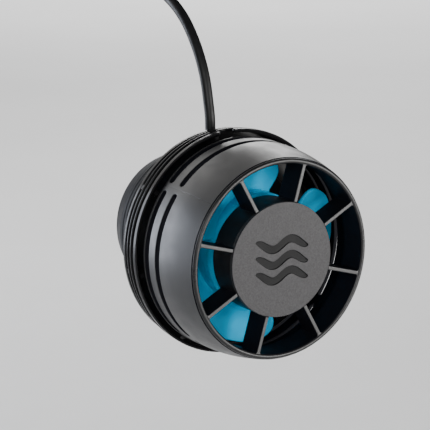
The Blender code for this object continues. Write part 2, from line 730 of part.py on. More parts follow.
def make_stator():
    """A toothed iron core round the well, with a winding on each tooth."""
    inner = STATOR_OUTER - STATOR_YOKE
    core = tube("stator_core", STATOR_OUTER, inner, STATOR_FRONT, STATOR_REAR, STEEL)
    middle = (STATOR_FRONT + STATOR_REAR) / 2
    length = STATOR_REAR - STATOR_FRONT - 0.0002
    root = STATOR_OUTER - STATOR_YOKE / 2
    tooth = (root - STATOR_INNER, TOOTH_WIDTH, length)
    place = ((root + STATOR_INNER) / 2, 0, middle)
    for i, angle in enumerate(around(COIL_COUNT, 0.0)):
        join(core, block(f"tooth_{i + 1}", tooth, place, angle))
    hole = (0.0066, TOOTH_WIDTH + 2 * GAP, length + 0.0008)
    size = (0.0048, hole[1] + 2 * COIL_WALL, hole[2] + 2 * COIL_WALL)
    place = (0.0172, 0, middle)
    for i, angle in enumerate(around(COIL_COUNT, 0.0)):
        winding = block(f"stator_coil_{i + 1}", size, place, angle, COPPER)
        cut(winding, block(f"coil_cutter_{i + 1}", hole, place, angle))


def make_motor_rear():
    """Driver board, back cover with its seal, and the screws."""
    spigot = MOTOR_INNER - SPIGOT_CLEARANCE
    groove = spigot - 0.0014
    tube("driver_board", 0.0236, 0.0062, BOARD_FRONT, BOARD_REAR, BOARD, 32)
    cover = solid("motor_back_cover", (
        (0.0, COVER_FRONT),
        (spigot, COVER_FRONT),
        (spigot, SEAL_FRONT),
        (groove, SEAL_FRONT),
        (groove, SEAL_REAR),
        (spigot, SEAL_REAR),
        (spigot, MOTOR_REAR + GAP),
        (MOTOR_RADIUS, MOTOR_REAR + GAP),
        (MOTOR_RADIUS, COVER_REAR),
        (0.0, COVER_REAR),
    ), MOTOR_PLASTIC)
    seal = [
        (spigot - 0.0006 + SEAL_RADIUS * cos(a), (SEAL_FRONT + SEAL_REAR) / 2 - SEAL_RADIUS * sin(a))
        for a in (2 * pi * (0.25 - k / 6) for k in range(6))
    ]
    turned("cover_seal", seal, RUBBER, 24)
    for i, angle in enumerate(around(SCREW_COUNT, COVER_SCREW_ANGLE)):
        place = polar(COVER_SCREW_RADIUS, angle)
        depths = (COVER_FRONT - 0.001, COVER_REAR + 0.001)
        cut(cover, rod(f"cover_hole_cutter_{i + 1}", SCREW_RADIUS + GAP, place, *depths))
        make_screw(
            f"cover_screw_{i + 1}", place, COVER_SCREW_TIP, COVER_REAR + GAP, COVER_SCREW_HEAD_RADIUS
        )
    for i, angle in enumerate(around(SCREW_COUNT, CAGE_SCREW_ANGLE)):
        place = polar(CAGE_SCREW_RADIUS, angle)
        make_screw(
            f"cage_screw_{i + 1}", place, CAGE_SCREW_TIP, MOUNT_FLANGE_REAR + GAP,
            CAGE_SCREW_HEAD_RADIUS,
        )


def make_screw(name, place, tip, head_front, head_radius):
    """A cheese-head screw that points forward, with its head at the rear."""
    screw = solid(name, (
        (0.0, tip),
        (SCREW_RADIUS, tip),
        (SCREW_RADIUS, head_front),
        (head_radius, head_front),
        (head_radius, head_front + SCREW_HEAD_HEIGHT),
        (0.0, head_front + SCREW_HEAD_HEIGHT),
    ), STEEL, 10)
    screw.location = (*place, 0)


# ---------------------------------------------------------------- magnet mount
def make_magnet_mount():
    front = COVER_REAR + GAP
    floor = PAD_FRONT - GAP
    turned("magnet_housing", (
        (MOTOR_RADIUS, front),
        (MOTOR_RADIUS - 0.0002, CUP_SHOULDER),
        (CUP_REAR_RADIUS, CUP_REAR, 0.0006),
        (PAD_RADIUS + GAP, CUP_REAR),
        (PAD_RADIUS + GAP, floor),
        (0.0, floor),
        (0.0, floor - CUP_FLOOR),
        (MAGNET_RADIUS + GAP, floor - CUP_FLOOR),
        (MOTOR_RADIUS - CUP_WALL - 0.0002, CUP_SHOULDER),
        (MOTOR_RADIUS - CUP_WALL, front),
    ), MOTOR_PLASTIC)
    disc("magnet_yoke", YOKE_RADIUS, YOKE_FRONT, YOKE_REAR, STEEL, 32)
    disc("mount_magnet", MAGNET_RADIUS - 0.0004, MAGNET_FRONT, MAGNET_REAR, MAGNET_ALLOY, 32)
    solid("glass_pad", (
        (0.0, PAD_FRONT), (PAD_RADIUS, PAD_FRONT), (PAD_RADIUS, LENGTH, 0.0004), (0.0, LENGTH)
    ), RUBBER)


# ---------------------------------------------------------------- cable
def upright(name, outline, finish, place, segments=SMALL_SEGMENTS, turn=(0, 0, 0), closed=False):
    """A turned part with an axis of its own; its outline is (radius, distance below the place)."""
    shifted = [(p[0], LENGTH + p[1], *p[2:]) for p in outline]
    made = turned(name, shifted, finish, segments, closed, parent=None)
    made.location = place
    made.rotation_euler = turn
    return made


def make_cable():
    """Gland, the free cable, the coil of spare cable with its tie, and the plug."""
    upright("cable_gland", (
        (0.0, 0.0),
        (CABLE_RADIUS + 0.0006, 0.0),
        (0.0042, 0.0060),
        (0.0058, 0.0060),
        (0.0058, 0.0085),
        (0.0036, 0.0085),
        (0.0036, 0.0130),
        (0.0, 0.0130),
    ), RUBBER, (0, GLAND_Y, GLAND_TOP))
    cable_tube("cable", CABLE_ROUTE)
    half_width, half_height = COIL_WIDTH / 2, COIL_HEIGHT / 2
    upright("cable_coil", (
        (COIL_TURN_RADIUS + half_width, -half_height),
        (COIL_TURN_RADIUS + half_width, half_height),
        (COIL_TURN_RADIUS - half_width, half_height),
        (COIL_TURN_RADIUS - half_width, -half_height),
    ), CABLE_JACKET, COIL_CENTRE, 32, closed=True)
    make_tie(half_width, half_height)
    cable_tube("cable_tail", TAIL_ROUTE)
    make_plug()


def make_tie(half_width, half_height):
    """A strap round the coil's bundle of turns."""
    strap, clearance = 0.0010, 0.0005
    inner = Vector((2 * (half_width + clearance), 0.0080, 2 * (half_height + clearance)))
    outer = Vector((inner.x + 2 * strap, 0.0055, inner.z + 2 * strap))
    angle = radians(TIE_ANGLE)
    middle = Vector(COIL_CENTRE) + COIL_TURN_RADIUS * Vector((cos(angle), sin(angle), 0))
    boxes = []
    for name, size, finish in (("coil_tie", outer, RUBBER), ("tie_cutter", inner, None)):
        mesh = bpy.data.meshes.new(name)
        box = bmesh.new()
        bmesh.ops.create_cube(box, size=1.0)
        bmesh.ops.scale(box, vec=size, verts=box.verts)
        box.to_mesh(mesh)
        box.free()
        made = add(name, mesh, finish, parts if finish else cutters, parent=None)
        made.location = middle
        made.rotation_euler = (0, 0, angle)
        boxes.append(made)
    cut(*boxes)


def make_plug():
    """A round lead connector, boot, body, coupling ring and contact pin, that points to -Y."""
    lying = (-pi / 2, 0, 0)
    x, y, z = TAIL_ROUTE[-1]
    boot_y = y - GAP
    upright("plug_boot", (
        (0.0, 0.0),
        (CABLE_RADIUS + 0.0004, 0.0),
        (PLUG_NOSE_RADIUS, BOOT_LENGTH),
        (0.0, BOOT_LENGTH),
    ), RUBBER, (x, boot_y, z), turn=lying)
    body_y = boot_y - BOOT_LENGTH - GAP
    upright("plug_body", (
        (0.0, 0.0),
        (PLUG_RADIUS - 0.0004, 0.0, 0.0006),
        (PLUG_RADIUS - 0.0004, RING_LENGTH),
        (PLUG_NOSE_RADIUS, RING_LENGTH),
        (PLUG_NOSE_RADIUS, PLUG_LENGTH),
        (0.0031, PLUG_LENGTH),
        (0.0031, PLUG_LENGTH - PLUG_SOCKET),
        (0.0, PLUG_LENGTH - PLUG_SOCKET),
    ), MOTOR_PLASTIC, (x, body_y, z), turn=lying)
    upright("plug_ring", (
        (PLUG_RADIUS, 0.0, 0.0004),
        (PLUG_RADIUS, RING_LENGTH, 0.0004),
        (PLUG_NOSE_RADIUS + GAP, RING_LENGTH),
        (PLUG_NOSE_RADIUS + GAP, 0.0),
    ), MOTOR_PLASTIC, (x, body_y - RING_LENGTH - GAP, z), turn=lying, closed=True)
    upright("plug_pin", (
        (0.0, 0.0), (0.0009, 0.0), (0.0009, 0.0045, 0.0003), (0.0, 0.0045)
    ), BRASS, (x, body_y - PLUG_LENGTH + PLUG_SOCKET - GAP, z), turn=lying)


make_nozzle_shell()
make_guide_grille()
make_hub_cap()
make_front_shaft_bush()
make_propeller()
make_rotor()
make_intake_cage()
make_motor_housing()
make_shaft()
make_stator()
make_motor_rear()
make_magnet_mount()
make_cable()
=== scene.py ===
"""Looks of a wave maker pump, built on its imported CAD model.

Units are metres, +Z is up. The pump's axis lies along Y and the water leaves towards -Y. Turned
pieces are drawn as (radius, depth) outlines, where depth is the distance behind the front rim, and
angles are in degrees, counter-clockwise as seen from the front.
"""

from math import cos, degrees, pi, radians, sin, sqrt, tan

import bmesh
import bpy
from mathutils import Matrix, Vector
from mathutils.geometry import delaunay_2d_cdt


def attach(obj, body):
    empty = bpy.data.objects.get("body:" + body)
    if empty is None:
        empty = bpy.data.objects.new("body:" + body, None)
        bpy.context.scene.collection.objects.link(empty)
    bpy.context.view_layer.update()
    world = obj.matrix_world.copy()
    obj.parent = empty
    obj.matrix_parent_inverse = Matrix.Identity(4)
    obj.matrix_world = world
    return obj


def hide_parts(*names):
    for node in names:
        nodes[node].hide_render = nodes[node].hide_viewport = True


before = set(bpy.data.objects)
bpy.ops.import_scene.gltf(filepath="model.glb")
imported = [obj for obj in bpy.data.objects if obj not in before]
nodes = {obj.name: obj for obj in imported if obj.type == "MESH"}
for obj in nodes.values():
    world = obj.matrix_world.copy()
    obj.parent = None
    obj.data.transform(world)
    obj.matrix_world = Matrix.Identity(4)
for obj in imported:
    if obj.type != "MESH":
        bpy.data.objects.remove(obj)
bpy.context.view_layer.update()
scene = bpy.context.scene

LENGTH = 0.087  # from the front rim to the pane
GAP = 0.0003  # between neighbouring pieces
SIDES = 256  # of a turned form on the pump's axis

# ---------------- camera
SENSOR = 36.0  # width in millimetres
PHOTO_WIDTH = 430  # in pixels
FOCAL_LENGTH = 2000  # in the photo's pixels
CAMERA_PLACE = (-0.43728, -0.74377, 0.20636)
CAMERA_TILT = 13.38  # degrees below level
CAMERA_TURN = -31.67  # degrees about Z: the camera stands on the -X side of the front
camera_data = bpy.data.cameras.new("camera")
camera_data.sensor_width = SENSOR
camera_data.lens = SENSOR * FOCAL_LENGTH / PHOTO_WIDTH
camera = bpy.data.objects.new("camera", camera_data)
camera.location = CAMERA_PLACE
camera.rotation_euler = (radians(90 - CAMERA_TILT), 0, radians(CAMERA_TURN))
scene.collection.objects.link(camera)
scene.camera = camera


# ---------------- materials
class Nodes:
    """A material's node tree, with short ways to add nodes and links."""

    def __init__(self, name):
        self.material = bpy.data.materials.new(name)
        self.material.use_nodes = True
        self.tree = self.material.node_tree
        self.shader = self.tree.nodes["Principled BSDF"]
        self.place = self.add("ShaderNodeTexCoord").outputs["Object"]

    def add(self, kind, **settings):
        made = self.tree.nodes.new(kind)
        for key, value in settings.items():
            setattr(made, key, value)
        return made

    def feed(self, node, **values):
        """Set or link a node's inputs; an underscore in a name stands for a space."""
        for key, value in values.items():
            socket = node.inputs[key.replace("_", " ")]
            if isinstance(value, bpy.types.NodeSocket):
                self.tree.links.new(value, socket)
            else:
                socket.default_value = value

    def noise(self, scale, detail=2.0, stretch=None):
        """Noise in object space; scale is in cycles per metre."""
        made = self.add("ShaderNodeTexNoise")
        place = self.place
        if stretch:
            mapping = self.add("ShaderNodeMapping")
            self.feed(mapping, Scale=stretch, Vector=place)
            place = mapping.outputs["Vector"]
        self.feed(made, Scale=scale, Detail=detail, Vector=place)
        return made.outputs["Fac"]

    def cells(self, scale):
        """Distance to the middle of the nearest cell; scale is in cells per metre."""
        made = self.add("ShaderNodeTexVoronoi")
        self.feed(made, Scale=scale, Vector=self.place)
        return made.outputs["Distance"]

    def span(self, value, low, high, at=(0.3, 0.7)):
        """The value stretched from the range at to low..high."""
        made = self.add("ShaderNodeMapRange")
        self.feed(made, Value=value, From_Min=at[0], From_Max=at[1], To_Min=low, To_Max=high)
        return made.outputs["Result"]

    def shades(self, value, dark, light, at=(0.3, 0.7)):
        """A colour between dark and light, as the value runs over the range at."""
        ramp = self.add("ShaderNodeValToRGB")
        for element, place, colour in zip(ramp.color_ramp.elements, at, (dark, light)):
            element.position = place
            element.color = (*colour, 1)
        self.feed(ramp, Fac=value)
        return ramp.outputs["Color"]

    def bump(self, *layers):
        """Bumps on top of each other; each layer is (height, strength, distance)."""
        normal = None
        for height, strength, distance in layers:
            made = self.add("ShaderNodeBump")
            self.feed(made, Height=height, Strength=strength, Distance=distance)
            if normal:
                self.feed(made, Normal=normal)
            normal = made.outputs["Normal"]
        self.set(Normal=normal)

    def set(self, **values):
        """Set or link the shader's inputs."""
        self.feed(self.shader, **values)


def moulded(
    name, dark, light, roughness, grain=2600.0, depth=0.00002, sheen=0.5, waves=0.12, speckle=45.0,
    uneven=0.055,
):
    """Moulded plastic: a spark-eroded grain, faint flow marks and an uneven gloss."""
    n = Nodes(name)
    fine = n.noise(grain, 3.0)
    flow = n.noise(45.0, 2.0, (1.0, 0.35, 1.0))
    n.set(
        Base_Color=n.shades(n.noise(speckle, 2.0), dark, light),
        Roughness=n.span(n.noise(160.0, 4.0), roughness - uneven, roughness + uneven),
        Specular_IOR_Level=sheen,
    )
    n.bump((n.cells(grain * 0.6), 0.35, depth), (fine, 0.55, depth), (flow, waves, 0.0004))
    return n.material


def metal(name, dark, light, roughness):
    """Turned or drawn metal with fine tool marks and dull patches."""
    n = Nodes(name)
    marks = n.noise(900.0, 3.0, (1.0, 1.0, 14.0))
    n.set(
        Base_Color=n.shades(n.noise(120.0, 4.0), dark, light),
        Metallic=1.0,
        Roughness=n.span(n.noise(260.0, 3.0), roughness - 0.08, roughness + 0.12),
    )
    n.bump((marks, 0.30, 0.00002))
    return n.material


def rubber(name, dark, light, roughness):
    """Soft black rubber: matt, a fine grain and slightly dusty high spots."""
    n = Nodes(name)
    dust = n.noise(420.0, 5.0)
    n.set(
        Base_Color=n.shades(dust, dark, light, (0.35, 0.8)),
        Roughness=n.span(dust, roughness - 0.06, roughness + 0.08),
        Sheen_Weight=0.08,
    )
    n.bump((n.noise(2200.0, 3.0), 0.5, 0.00003), (dust, 0.15, 0.0001))
    return n.material


def blade_finish(name, sheen, coat):
    """Turquoise plastic that lets a little light through, with fine flow lines."""
    n = Nodes(name)
    flow = n.noise(70.0, 3.0, (1.0, 2.2, 1.0))
    n.set(
        Base_Color=n.shades(flow, (0.0001, 0.290, 0.530), (0.0004, 0.370, 0.640)),
        Roughness=n.span(n.noise(220.0, 4.0), 0.24, 0.34),
        Specular_IOR_Level=sheen,
        Coat_Weight=coat,
        Coat_Roughness=0.06,
        Subsurface_Weight=0.10,
        Subsurface_Radius=(0.2, 0.8, 1.0),
        Subsurface_Scale=0.0016,
    )
    n.bump((flow, 0.10, 0.0003), (n.noise(1800.0, 2.0), 0.12, 0.00002))
    return n.material


def jacket(name):
    """The cable's smooth extruded jacket, with a faint texture along it."""
    n = Nodes(name)
    n.set(
        Base_Color=n.shades(n.noise(260.0, 3.0), (0.0040, 0.0040, 0.0044), (0.0065, 0.0065, 0.0070)),
        Roughness=n.span(n.noise(340.0, 4.0), 0.36, 0.50),
        Specular_IOR_Level=0.22,
    )
    n.bump((n.noise(1500.0, 3.0), 0.30, 0.00003), (n.noise(120.0, 2.0), 0.15, 0.0002))
    return n.material


def board_finish(name):
    """Green solder mask with copper tracks showing through it."""
    n = Nodes(name)
    tracks = n.span(n.noise(520.0, 0.0, (1.0, 1.0, 3.0)), 0.0, 1.0, (0.52, 0.54))
    n.set(
        Base_Color=n.shades(tracks, (0.010, 0.085, 0.034), (0.030, 0.170, 0.070), (0.4, 0.6)),
        Roughness=n.span(n.noise(200.0), 0.35, 0.55),
    )
    n.bump((tracks, 0.4, 0.00003))
    return n.material


def windings(name):
    """Enamelled copper wire laid side by side."""
    n = Nodes(name)
    wave = n.add("ShaderNodeTexWave", bands_direction="Y", wave_profile="SIN")
    n.feed(wave, Scale=620.0, Distortion=0.4, Vector=n.place)
    n.set(
        Base_Color=n.shades(wave.outputs["Fac"], (0.30, 0.085, 0.025), (0.62, 0.25, 0.10)),
        Metallic=1.0,
        Roughness=n.span(n.noise(300.0), 0.22, 0.38),
    )
    n.bump((wave.outputs["Fac"], 0.8, 0.00012))
    return n.material


SHELL = moulded("shell_plastic", (0.0085, 0.0085, 0.0092), (0.0115, 0.0115, 0.0124), 0.40)
RIM_POLISH = moulded(
    "rim_polish", (0.0075, 0.0075, 0.0082), (0.0100, 0.0100, 0.0108), 0.30, depth=0.00001,
    sheen=0.30,
)
# painted shade: a darker, duller copy of the shell plastic, with a bluish cast that stands for light
# bounced off the blades, for faces inside the mouth and the slots
SHADE = moulded("painted_shade_inside", (0.0045, 0.0047, 0.0070), (0.0065, 0.0068, 0.0095), 0.50, sheen=0.04)
# painted shade: a darker, less glossy copy of the shell plastic for the fixed hub's side, deep in
# the mouth
HUB_SIDE_SHADE = moulded("hub_side_painted_shade", (0.0070, 0.0070, 0.0076), (0.0095, 0.0095, 0.0102), 0.48, sheen=0.11)
CAP = moulded(
    "cap_plastic", (0.0150, 0.0143, 0.0158), (0.0300, 0.0286, 0.0310), 0.50, grain=2100.0,
    depth=0.00006, sheen=0.30, waves=0.0, speckle=1500.0, uneven=0.008,
)
# painted shade: much darker than the cap's plastic, for the walls and floor of the sunk waves
EMBLEM_SHADE = moulded(
    "emblem_floor_painted_shade", (0.0030, 0.0030, 0.0034), (0.0050, 0.0050, 0.0054), 0.40, sheen=0.10
)
CAGE = moulded(
    "cage_plastic", (0.0060, 0.0060, 0.0067), (0.0085, 0.0085, 0.0092), 0.22, sheen=0.13
)
MOTOR = moulded(
    "motor_plastic", (0.0105, 0.0114, 0.0138), (0.0140, 0.0152, 0.0184), 0.46, sheen=0.07
)
BLADE = blade_finish("blade_plastic", sheen=0.0, coat=0.02)
BLADE_EDGE = blade_finish("blade_edge", sheen=0.25, coat=0.5)
RUBBER = rubber("rubber", (0.0080, 0.0080, 0.0085), (0.0200, 0.0200, 0.0210), 0.72)
JACKET = jacket("cable_jacket")
CERAMIC = moulded(
    "ceramic", (0.74, 0.73, 0.69), (0.83, 0.82, 0.79), 0.24, grain=3200.0, depth=0.000006
)
MAGNET = metal("magnet_alloy", (0.40, 0.40, 0.42), (0.56, 0.56, 0.58), 0.26)
STEEL = metal("steel", (0.50, 0.50, 0.52), (0.62, 0.62, 0.63), 0.32)
COPPER = windings("copper")
BOARD = board_finish("board")
BRASS = metal("brass", (0.62, 0.42, 0.15), (0.76, 0.56, 0.25), 0.26)
WASHER = moulded("polymer_washer", (0.50, 0.48, 0.42), (0.60, 0.58, 0.52), 0.46)


# ---------------- mesh helpers
def at(radius, angle, depth):
    """A point in the world from its radius, its angle in degrees and its depth."""
    return Vector((radius * cos(radians(angle)), depth - LENGTH, radius * sin(radians(angle))))


def quarter(steps):
    """Angles in radians from 0 to a right angle."""
    return [pi / 2 * k / steps for k in range(steps + 1)]


def disc(radius, sides):
    """A circle's outline as 2-D points."""
    return [Vector((radius * cos(radians(a)), radius * sin(radians(a)))) for a in around(sides)]


def beside(radius, angle, depth, across):
    """A point that is across metres to the side of at(radius, angle, depth)."""
    a = radians(angle)
    return Vector((
        radius * cos(a) - across * sin(a), depth - LENGTH, radius * sin(a) + across * cos(a)
    ))


def rounded(outline, steps=5):
    """Replace each (radius, depth, fillet) corner of a closed outline by an arc."""
    points = []
    for i, corner in enumerate(outline):
        here = Vector(corner[:2])
        if len(corner) == 2:
            points.append(here)
            continue
        before = (Vector(outline[i - 1][:2]) - here).normalized()
        after = (Vector(outline[(i + 1) % len(outline)][:2]) - here).normalized()
        half = before.angle(after) / 2
        start, end = (here + way * (corner[2] / tan(half)) for way in (before, after))
        centre = here + (before + after).normalized() * (corner[2] / sin(half))
        for k in range(steps + 1):
            way = start.lerp(end, k / steps) - centre
            points.append(centre + way.normalized() * corner[2])
    return points


def around(count, first=0.0):
    """Angles in degrees, evenly round a full turn."""
    return [first + 360.0 * i / count for i in range(count)]


class Shape:
    """Collects points and faces from several closed forms, then makes one smooth object."""

    def __init__(self):
        self.points = []
        self.faces = []

    def grid(self, rows, wrap=True):
        """Join neighbouring rows of points by quads; wrap closes each row on itself."""
        first = len(self.points)
        across = len(rows[0])
        for row in rows:
            self.points.extend(row)
        for j in range(len(rows) - 1):
            for i in range(across if wrap else across - 1):
                a = first + j * across + i
                b = first + j * across + (i + 1) % across
                self.faces.append((a, b, b + across, a + across))

    def solid(self, rows):
        """A grid of closed rows, with a face over each end."""
        self.grid(rows)
        count = len(rows[0])
        first, last = len(self.points) - count * len(rows), len(self.points) - count
        self.faces.append(list(range(first, first + count))[::-1])
        self.faces.append(list(range(last, last + count)))

    def flat(self, boundary, holes, lift):
        """A flat face with holes, from 2-D loops; lift turns a 2-D point into a 3-D one."""
        loops = [boundary, *holes]
        flat_points, edges = [], []
        for loop in loops:
            start = len(flat_points)
            flat_points.extend(Vector(p) for p in loop)
            edges += [(start + i, start + (i + 1) % len(loop)) for i in range(len(loop))]
        faces = [list(range(len(boundary)))]
        found = delaunay_2d_cdt(flat_points, edges, faces, 1, 1e-9)
        first = len(self.points)
        self.points.extend(lift(p) for p in found[0])
        for face in found[2]:
            middle = sum((found[0][i] for i in face), Vector((0, 0))) / len(face)
            if not any(inside(middle, hole) for hole in holes):
                self.faces.append([first + i for i in face])

    def spin(self, outline, origin, along, steps=5, closed=True, sides=SIDES, knurl=None):
        """A turned form about any axis: the outline is (radius, distance from origin along it).

        knurl is (number of grooves, their depth, the smallest radius they reach).
        """
        line = rounded(outline, steps)
        if closed:
            line.append(line[0])
        along, origin = Vector(along), Vector(origin)
        right = along.cross(Vector((0, 0, 1)) if abs(along.z) < 0.9 else Vector((0, 1, 0)))
        up = right.cross(along)
        rows = []
        for radius, distance in line:
            row = []
            for angle in around(sides):
                r = radius
                if knurl and radius > knurl[2]:
                    r -= knurl[1] * abs(sin(radians(angle * knurl[0] / 2))) ** 0.6
                way = right * cos(radians(angle)) + up * sin(radians(angle))
                row.append(origin + along * distance + way * r)
            rows.append(row)
        self.grid(rows)

    def lathe(self, outline, steps=5, closed=True, sides=SIDES):
        """A turned form on the pump's axis. An open outline starts and ends on the axis."""
        self.spin(outline, (0, -LENGTH, 0), (0, 1, 0), steps, closed, sides)

    def bar(self, section, first, last, end, count=40):
        """A curved bar round the axis with rounded ends; end is the length of its rounding."""
        line = rounded(section, 3)
        middle = sum(line, Vector((0, 0))) / len(line)
        turn = degrees(end / middle[0])
        ends = [(turn * (1 - cos(t)), sin(t)) for t in quarter(6)[:-1]]
        stations = [(first + way, size) for way, size in ends]
        stations += [
            (first + turn + (last - first - 2 * turn) * k / count, 1.0) for k in range(count + 1)
        ]
        stations += [(last - way, size) for way, size in ends[::-1]]
        rows = []
        for angle, size in stations:
            places = [middle + (p - middle) * size for p in line]
            rows.append([at(p.x, angle, p.y) for p in places])
        self.grid(rows)

    def object(
        self, name, finish, body, node, merge=1e-7, sharp=50.0, pick=None, others=()
    ):
        """Make the object, in place of a CAD node.

        pick gives each face its finish: 0 for finish, and 1 onwards for the others.
        """
        mesh = bpy.data.meshes.new(name)
        work = bmesh.new()
        made = [work.verts.new(p) for p in self.points]
        for face in self.faces:
            corners = [made[i] for i in face]
            if len({tuple(c.co) for c in corners}) > 2:
                work.faces.new(corners)
        bmesh.ops.remove_doubles(work, verts=work.verts, dist=merge)
        bmesh.ops.recalc_face_normals(work, faces=work.faces)
        work.to_mesh(mesh)
        work.free()
        mesh.shade_smooth()
        mesh.set_sharp_from_angle(angle=radians(sharp))
        for each in (finish, *others):
            mesh.materials.append(each)
        if pick:
            for face in mesh.polygons:
                face.material_index = pick(face.center, face.normal)
        piece = bpy.data.objects.new(name, mesh)
        scene.collection.objects.link(piece)
        even = piece.modifiers.new("Even normals", "WEIGHTED_NORMAL")
        even.keep_sharp = True
        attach(piece, body)
        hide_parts(node)
        # a finish that shares its name with a CAD material has .001 after it, which no slot has
        return piece


def off_axis(place):
    """A point's distance from the pump's axis."""
    return sqrt(place.x ** 2 + place.z ** 2)


def facing_out(place, normal):
    """How far a normal points away from the pump's axis, from -1 to 1."""
    away = Vector((place.x, 0, place.z))
    return normal.dot(away.normalized()) if away.length else 0.0


def inside(point, loop):
    """Whether a 2-D point lies inside a loop."""
    found = False
    for a, b in zip(loop, loop[1:] + loop[:1]):
        if (a[1] > point[1]) != (b[1] > point[1]):
            if point[0] < a[0] + (b[0] - a[0]) * (point[1] - a[1]) / (b[1] - a[1]):
                found = not found
    return found


# ---------------- cable
CABLE = 0.0045  # diameter
CABLE_STEP = 0.0025  # between neighbouring points of the run, where it isn't coiled
GLAND = Vector((0.0, -0.0312, 0.0437))
COIL_CENTRE = Vector((0.0250, 0.0330, 0.1078))
COIL_TURN = 0.0246  # radius of the middle turns
TURNS_WIDE = 3
TURNS_HIGH = 4
TURN_POINTS = 30  # in each turn
CROSSING = (0.60, 0.34)  # where a turn starts to move over, and for how much of the turn
TIE_ANGLE = 290.0

# the middle of the cable, from the gland to the coil
ROUTE = (
    GLAND, (0.0, -0.0308, 0.0507), (0.0, -0.0296, 0.0562), (0.0, -0.0279, 0.0632),
    (0.0, -0.0254, 0.0698), (0.0, -0.0214, 0.0769), (0.0, -0.0166, 0.0832),
    (0.0, -0.0107, 0.0891), (0.0, -0.0038, 0.0938), (0.0, 0.0030, 0.0970),
    (0.0, 0.0098, 0.0993), (-0.0026, 0.0205, 0.1007),
)
# the middle of the cable, from the top of the coil to the plug
TAIL = (
    (0.0105, 0.0590, 0.1194), (0.0210, 0.0620, 0.1195), (0.0310, 0.0600, 0.1198),
    (0.0400, 0.0550, 0.1203), (0.0460, 0.0480, 0.1214), (0.0485, 0.0420, 0.1220),
    (0.0490, 0.0370, 0.1222),
)


def smooth_line(route, step):
    """Points about a step apart on a smooth curve (Catmull-Rom) through a route's points."""
    knots = [Vector(p) for p in route]
    knots = [2 * knots[0] - knots[1], *knots, 2 * knots[-1] - knots[-2]]
    line = []
    for a, b, c, d in zip(knots, knots[1:], knots[2:], knots[3:]):
        pieces = max(1, round((c - b).length / step))
        for k in range(pieces):
            t = k / pieces
            bend = (2 * a - 5 * b + 4 * c - d) * t * t + (3 * b - a - 3 * c + d) * t * t * t
            line.append((2 * b + (c - a) * t + bend) / 2)
    line.append(knots[-2])
    return line


def ease(way):
    """A smooth step from 0 to 1."""
    way = min(1.0, max(0.0, way))
    return way * way * (3 - 2 * way)


def coil_points():
    """Neat turns, clockwise from above; each moves over to the next one's place near its end."""
    radii, heights = [], []
    inwards = [COIL_TURN + CABLE * k for k in (1, 0, -1)]
    for layer in range(TURNS_HIGH):
        radii += inwards if layer % 2 == 0 else inwards[::-1]
        height = COIL_CENTRE.z + CABLE * (layer - (TURNS_HIGH - 1) / 2)
        heights += [height] * TURNS_WIDE
    radii += [radii[-1], radii[-1]]
    heights += [TAIL[0][2], TAIL[0][2]]
    start, span = CROSSING
    points = []
    for step in range(TURN_POINTS * TURNS_WIDE * TURNS_HIGH + TURN_POINTS // 5):
        turn, k = divmod(step, TURN_POINTS)
        angle = 180 - 360 * k / TURN_POINTS
        way = ease((k / TURN_POINTS - start) / span)
        radius = radii[turn] + (radii[turn + 1] - radii[turn]) * way
        height = heights[turn] + (heights[turn + 1] - heights[turn]) * way
        points.append(Vector((
            COIL_CENTRE.x + radius * cos(radians(angle)),
            COIL_CENTRE.y + radius * sin(radians(angle)),
            height,
        )))
    return points


def make_cable():
    """One open curve: out of the gland, up to the coil of spare cable, and over it to the plug."""
    turns = coil_points()
    lead = smooth_line([*ROUTE, turns[0]], CABLE_STEP)[:-1]
    # the end of the last turn covers the first point of the tail
    tail = smooth_line([*turns[-2:], *TAIL[1:]], CABLE_STEP)
    line = lead + turns[:-2] + tail
    curve = bpy.data.curves.new("cable_run", "CURVE")
    curve.dimensions = "3D"
    curve.bevel_depth = CABLE / 2
    curve.bevel_resolution = 7
    curve.use_fill_caps = True
    spline = curve.splines.new("POLY")
    spline.points.add(len(line) - 1)
    for point, place in zip(spline.points, line):
        point.co = (*place, 1.0)
    curve.materials.append(JACKET)
    run = bpy.data.objects.new("cable_run", curve)
    scene.collection.objects.link(run)
    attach(run, "motor")
    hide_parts("cable", "cable_coil", "cable_tail")
    return run


# ---------------- nozzle and grille
RIM = 0.0420  # outer radius at the front
MOUTH = 0.0398  # inner radius of the sleeve
HUB = 0.0241  # outer radius of the fixed hub
FLANGE = 0.0012  # thickness of the flange at the rim
SWELL_END = 0.0225  # depth where the nozzle stops swelling
SWELL = 0.0032  # how much wider than the rim it is there
SWELL_RADIUS = 0.0452
BORE_STEP = (0.0133, 0.0200)  # the bore widens between these depths
BORE = (0.0416, 0.0431)  # its radius before and behind that
REAR_FLARE = 0.0003  # how much both skins widen behind, up to the rear edge
NOZZLE_REAR = 0.0346
REAR_ROUND = 0.0004
SLOTS = (0.0237, 0.0317)  # depth of each row's middle
SLOT_HALF = 0.0015
SLOT_TURN = 180 / pi / 0.0453  # degrees for each metre round the nozzle at the slots
BRIDGES = around(4, 140.7)
BRIDGE_HALF = 2.4  # degrees
BRIDGE_COLUMNS = (-1.7, -1.1, -0.5, -0.12, 0.0, 0.12, 0.5, 1.1, 1.7)
EDGE = 0.00030  # rounding of the slots' outer edges
INNER_EDGE = 0.0001  # and of their inner edges
SEAM = 0.00004  # depth of the parting line on each bridge
DRAFT = 0.0003  # each side of a slot closes in by this towards the inside
LUG = (
    (0.0441, 0.0331, 0.0002), (0.0441, 0.0343, 0.0002), (0.0431, 0.0343, 0.0002),
    (0.0431, 0.0331, 0.0002),
)
LUG_HALF = 2.0  # degrees


def nozzle_outer(depth):
    """Radius of the nozzle's outer skin."""
    if depth >= SWELL_END:
        return SWELL_RADIUS + REAR_FLARE * (depth - SWELL_END) / (NOZZLE_REAR - SWELL_END)
    return RIM + SWELL * sin(pi / 2 * depth / SWELL_END)


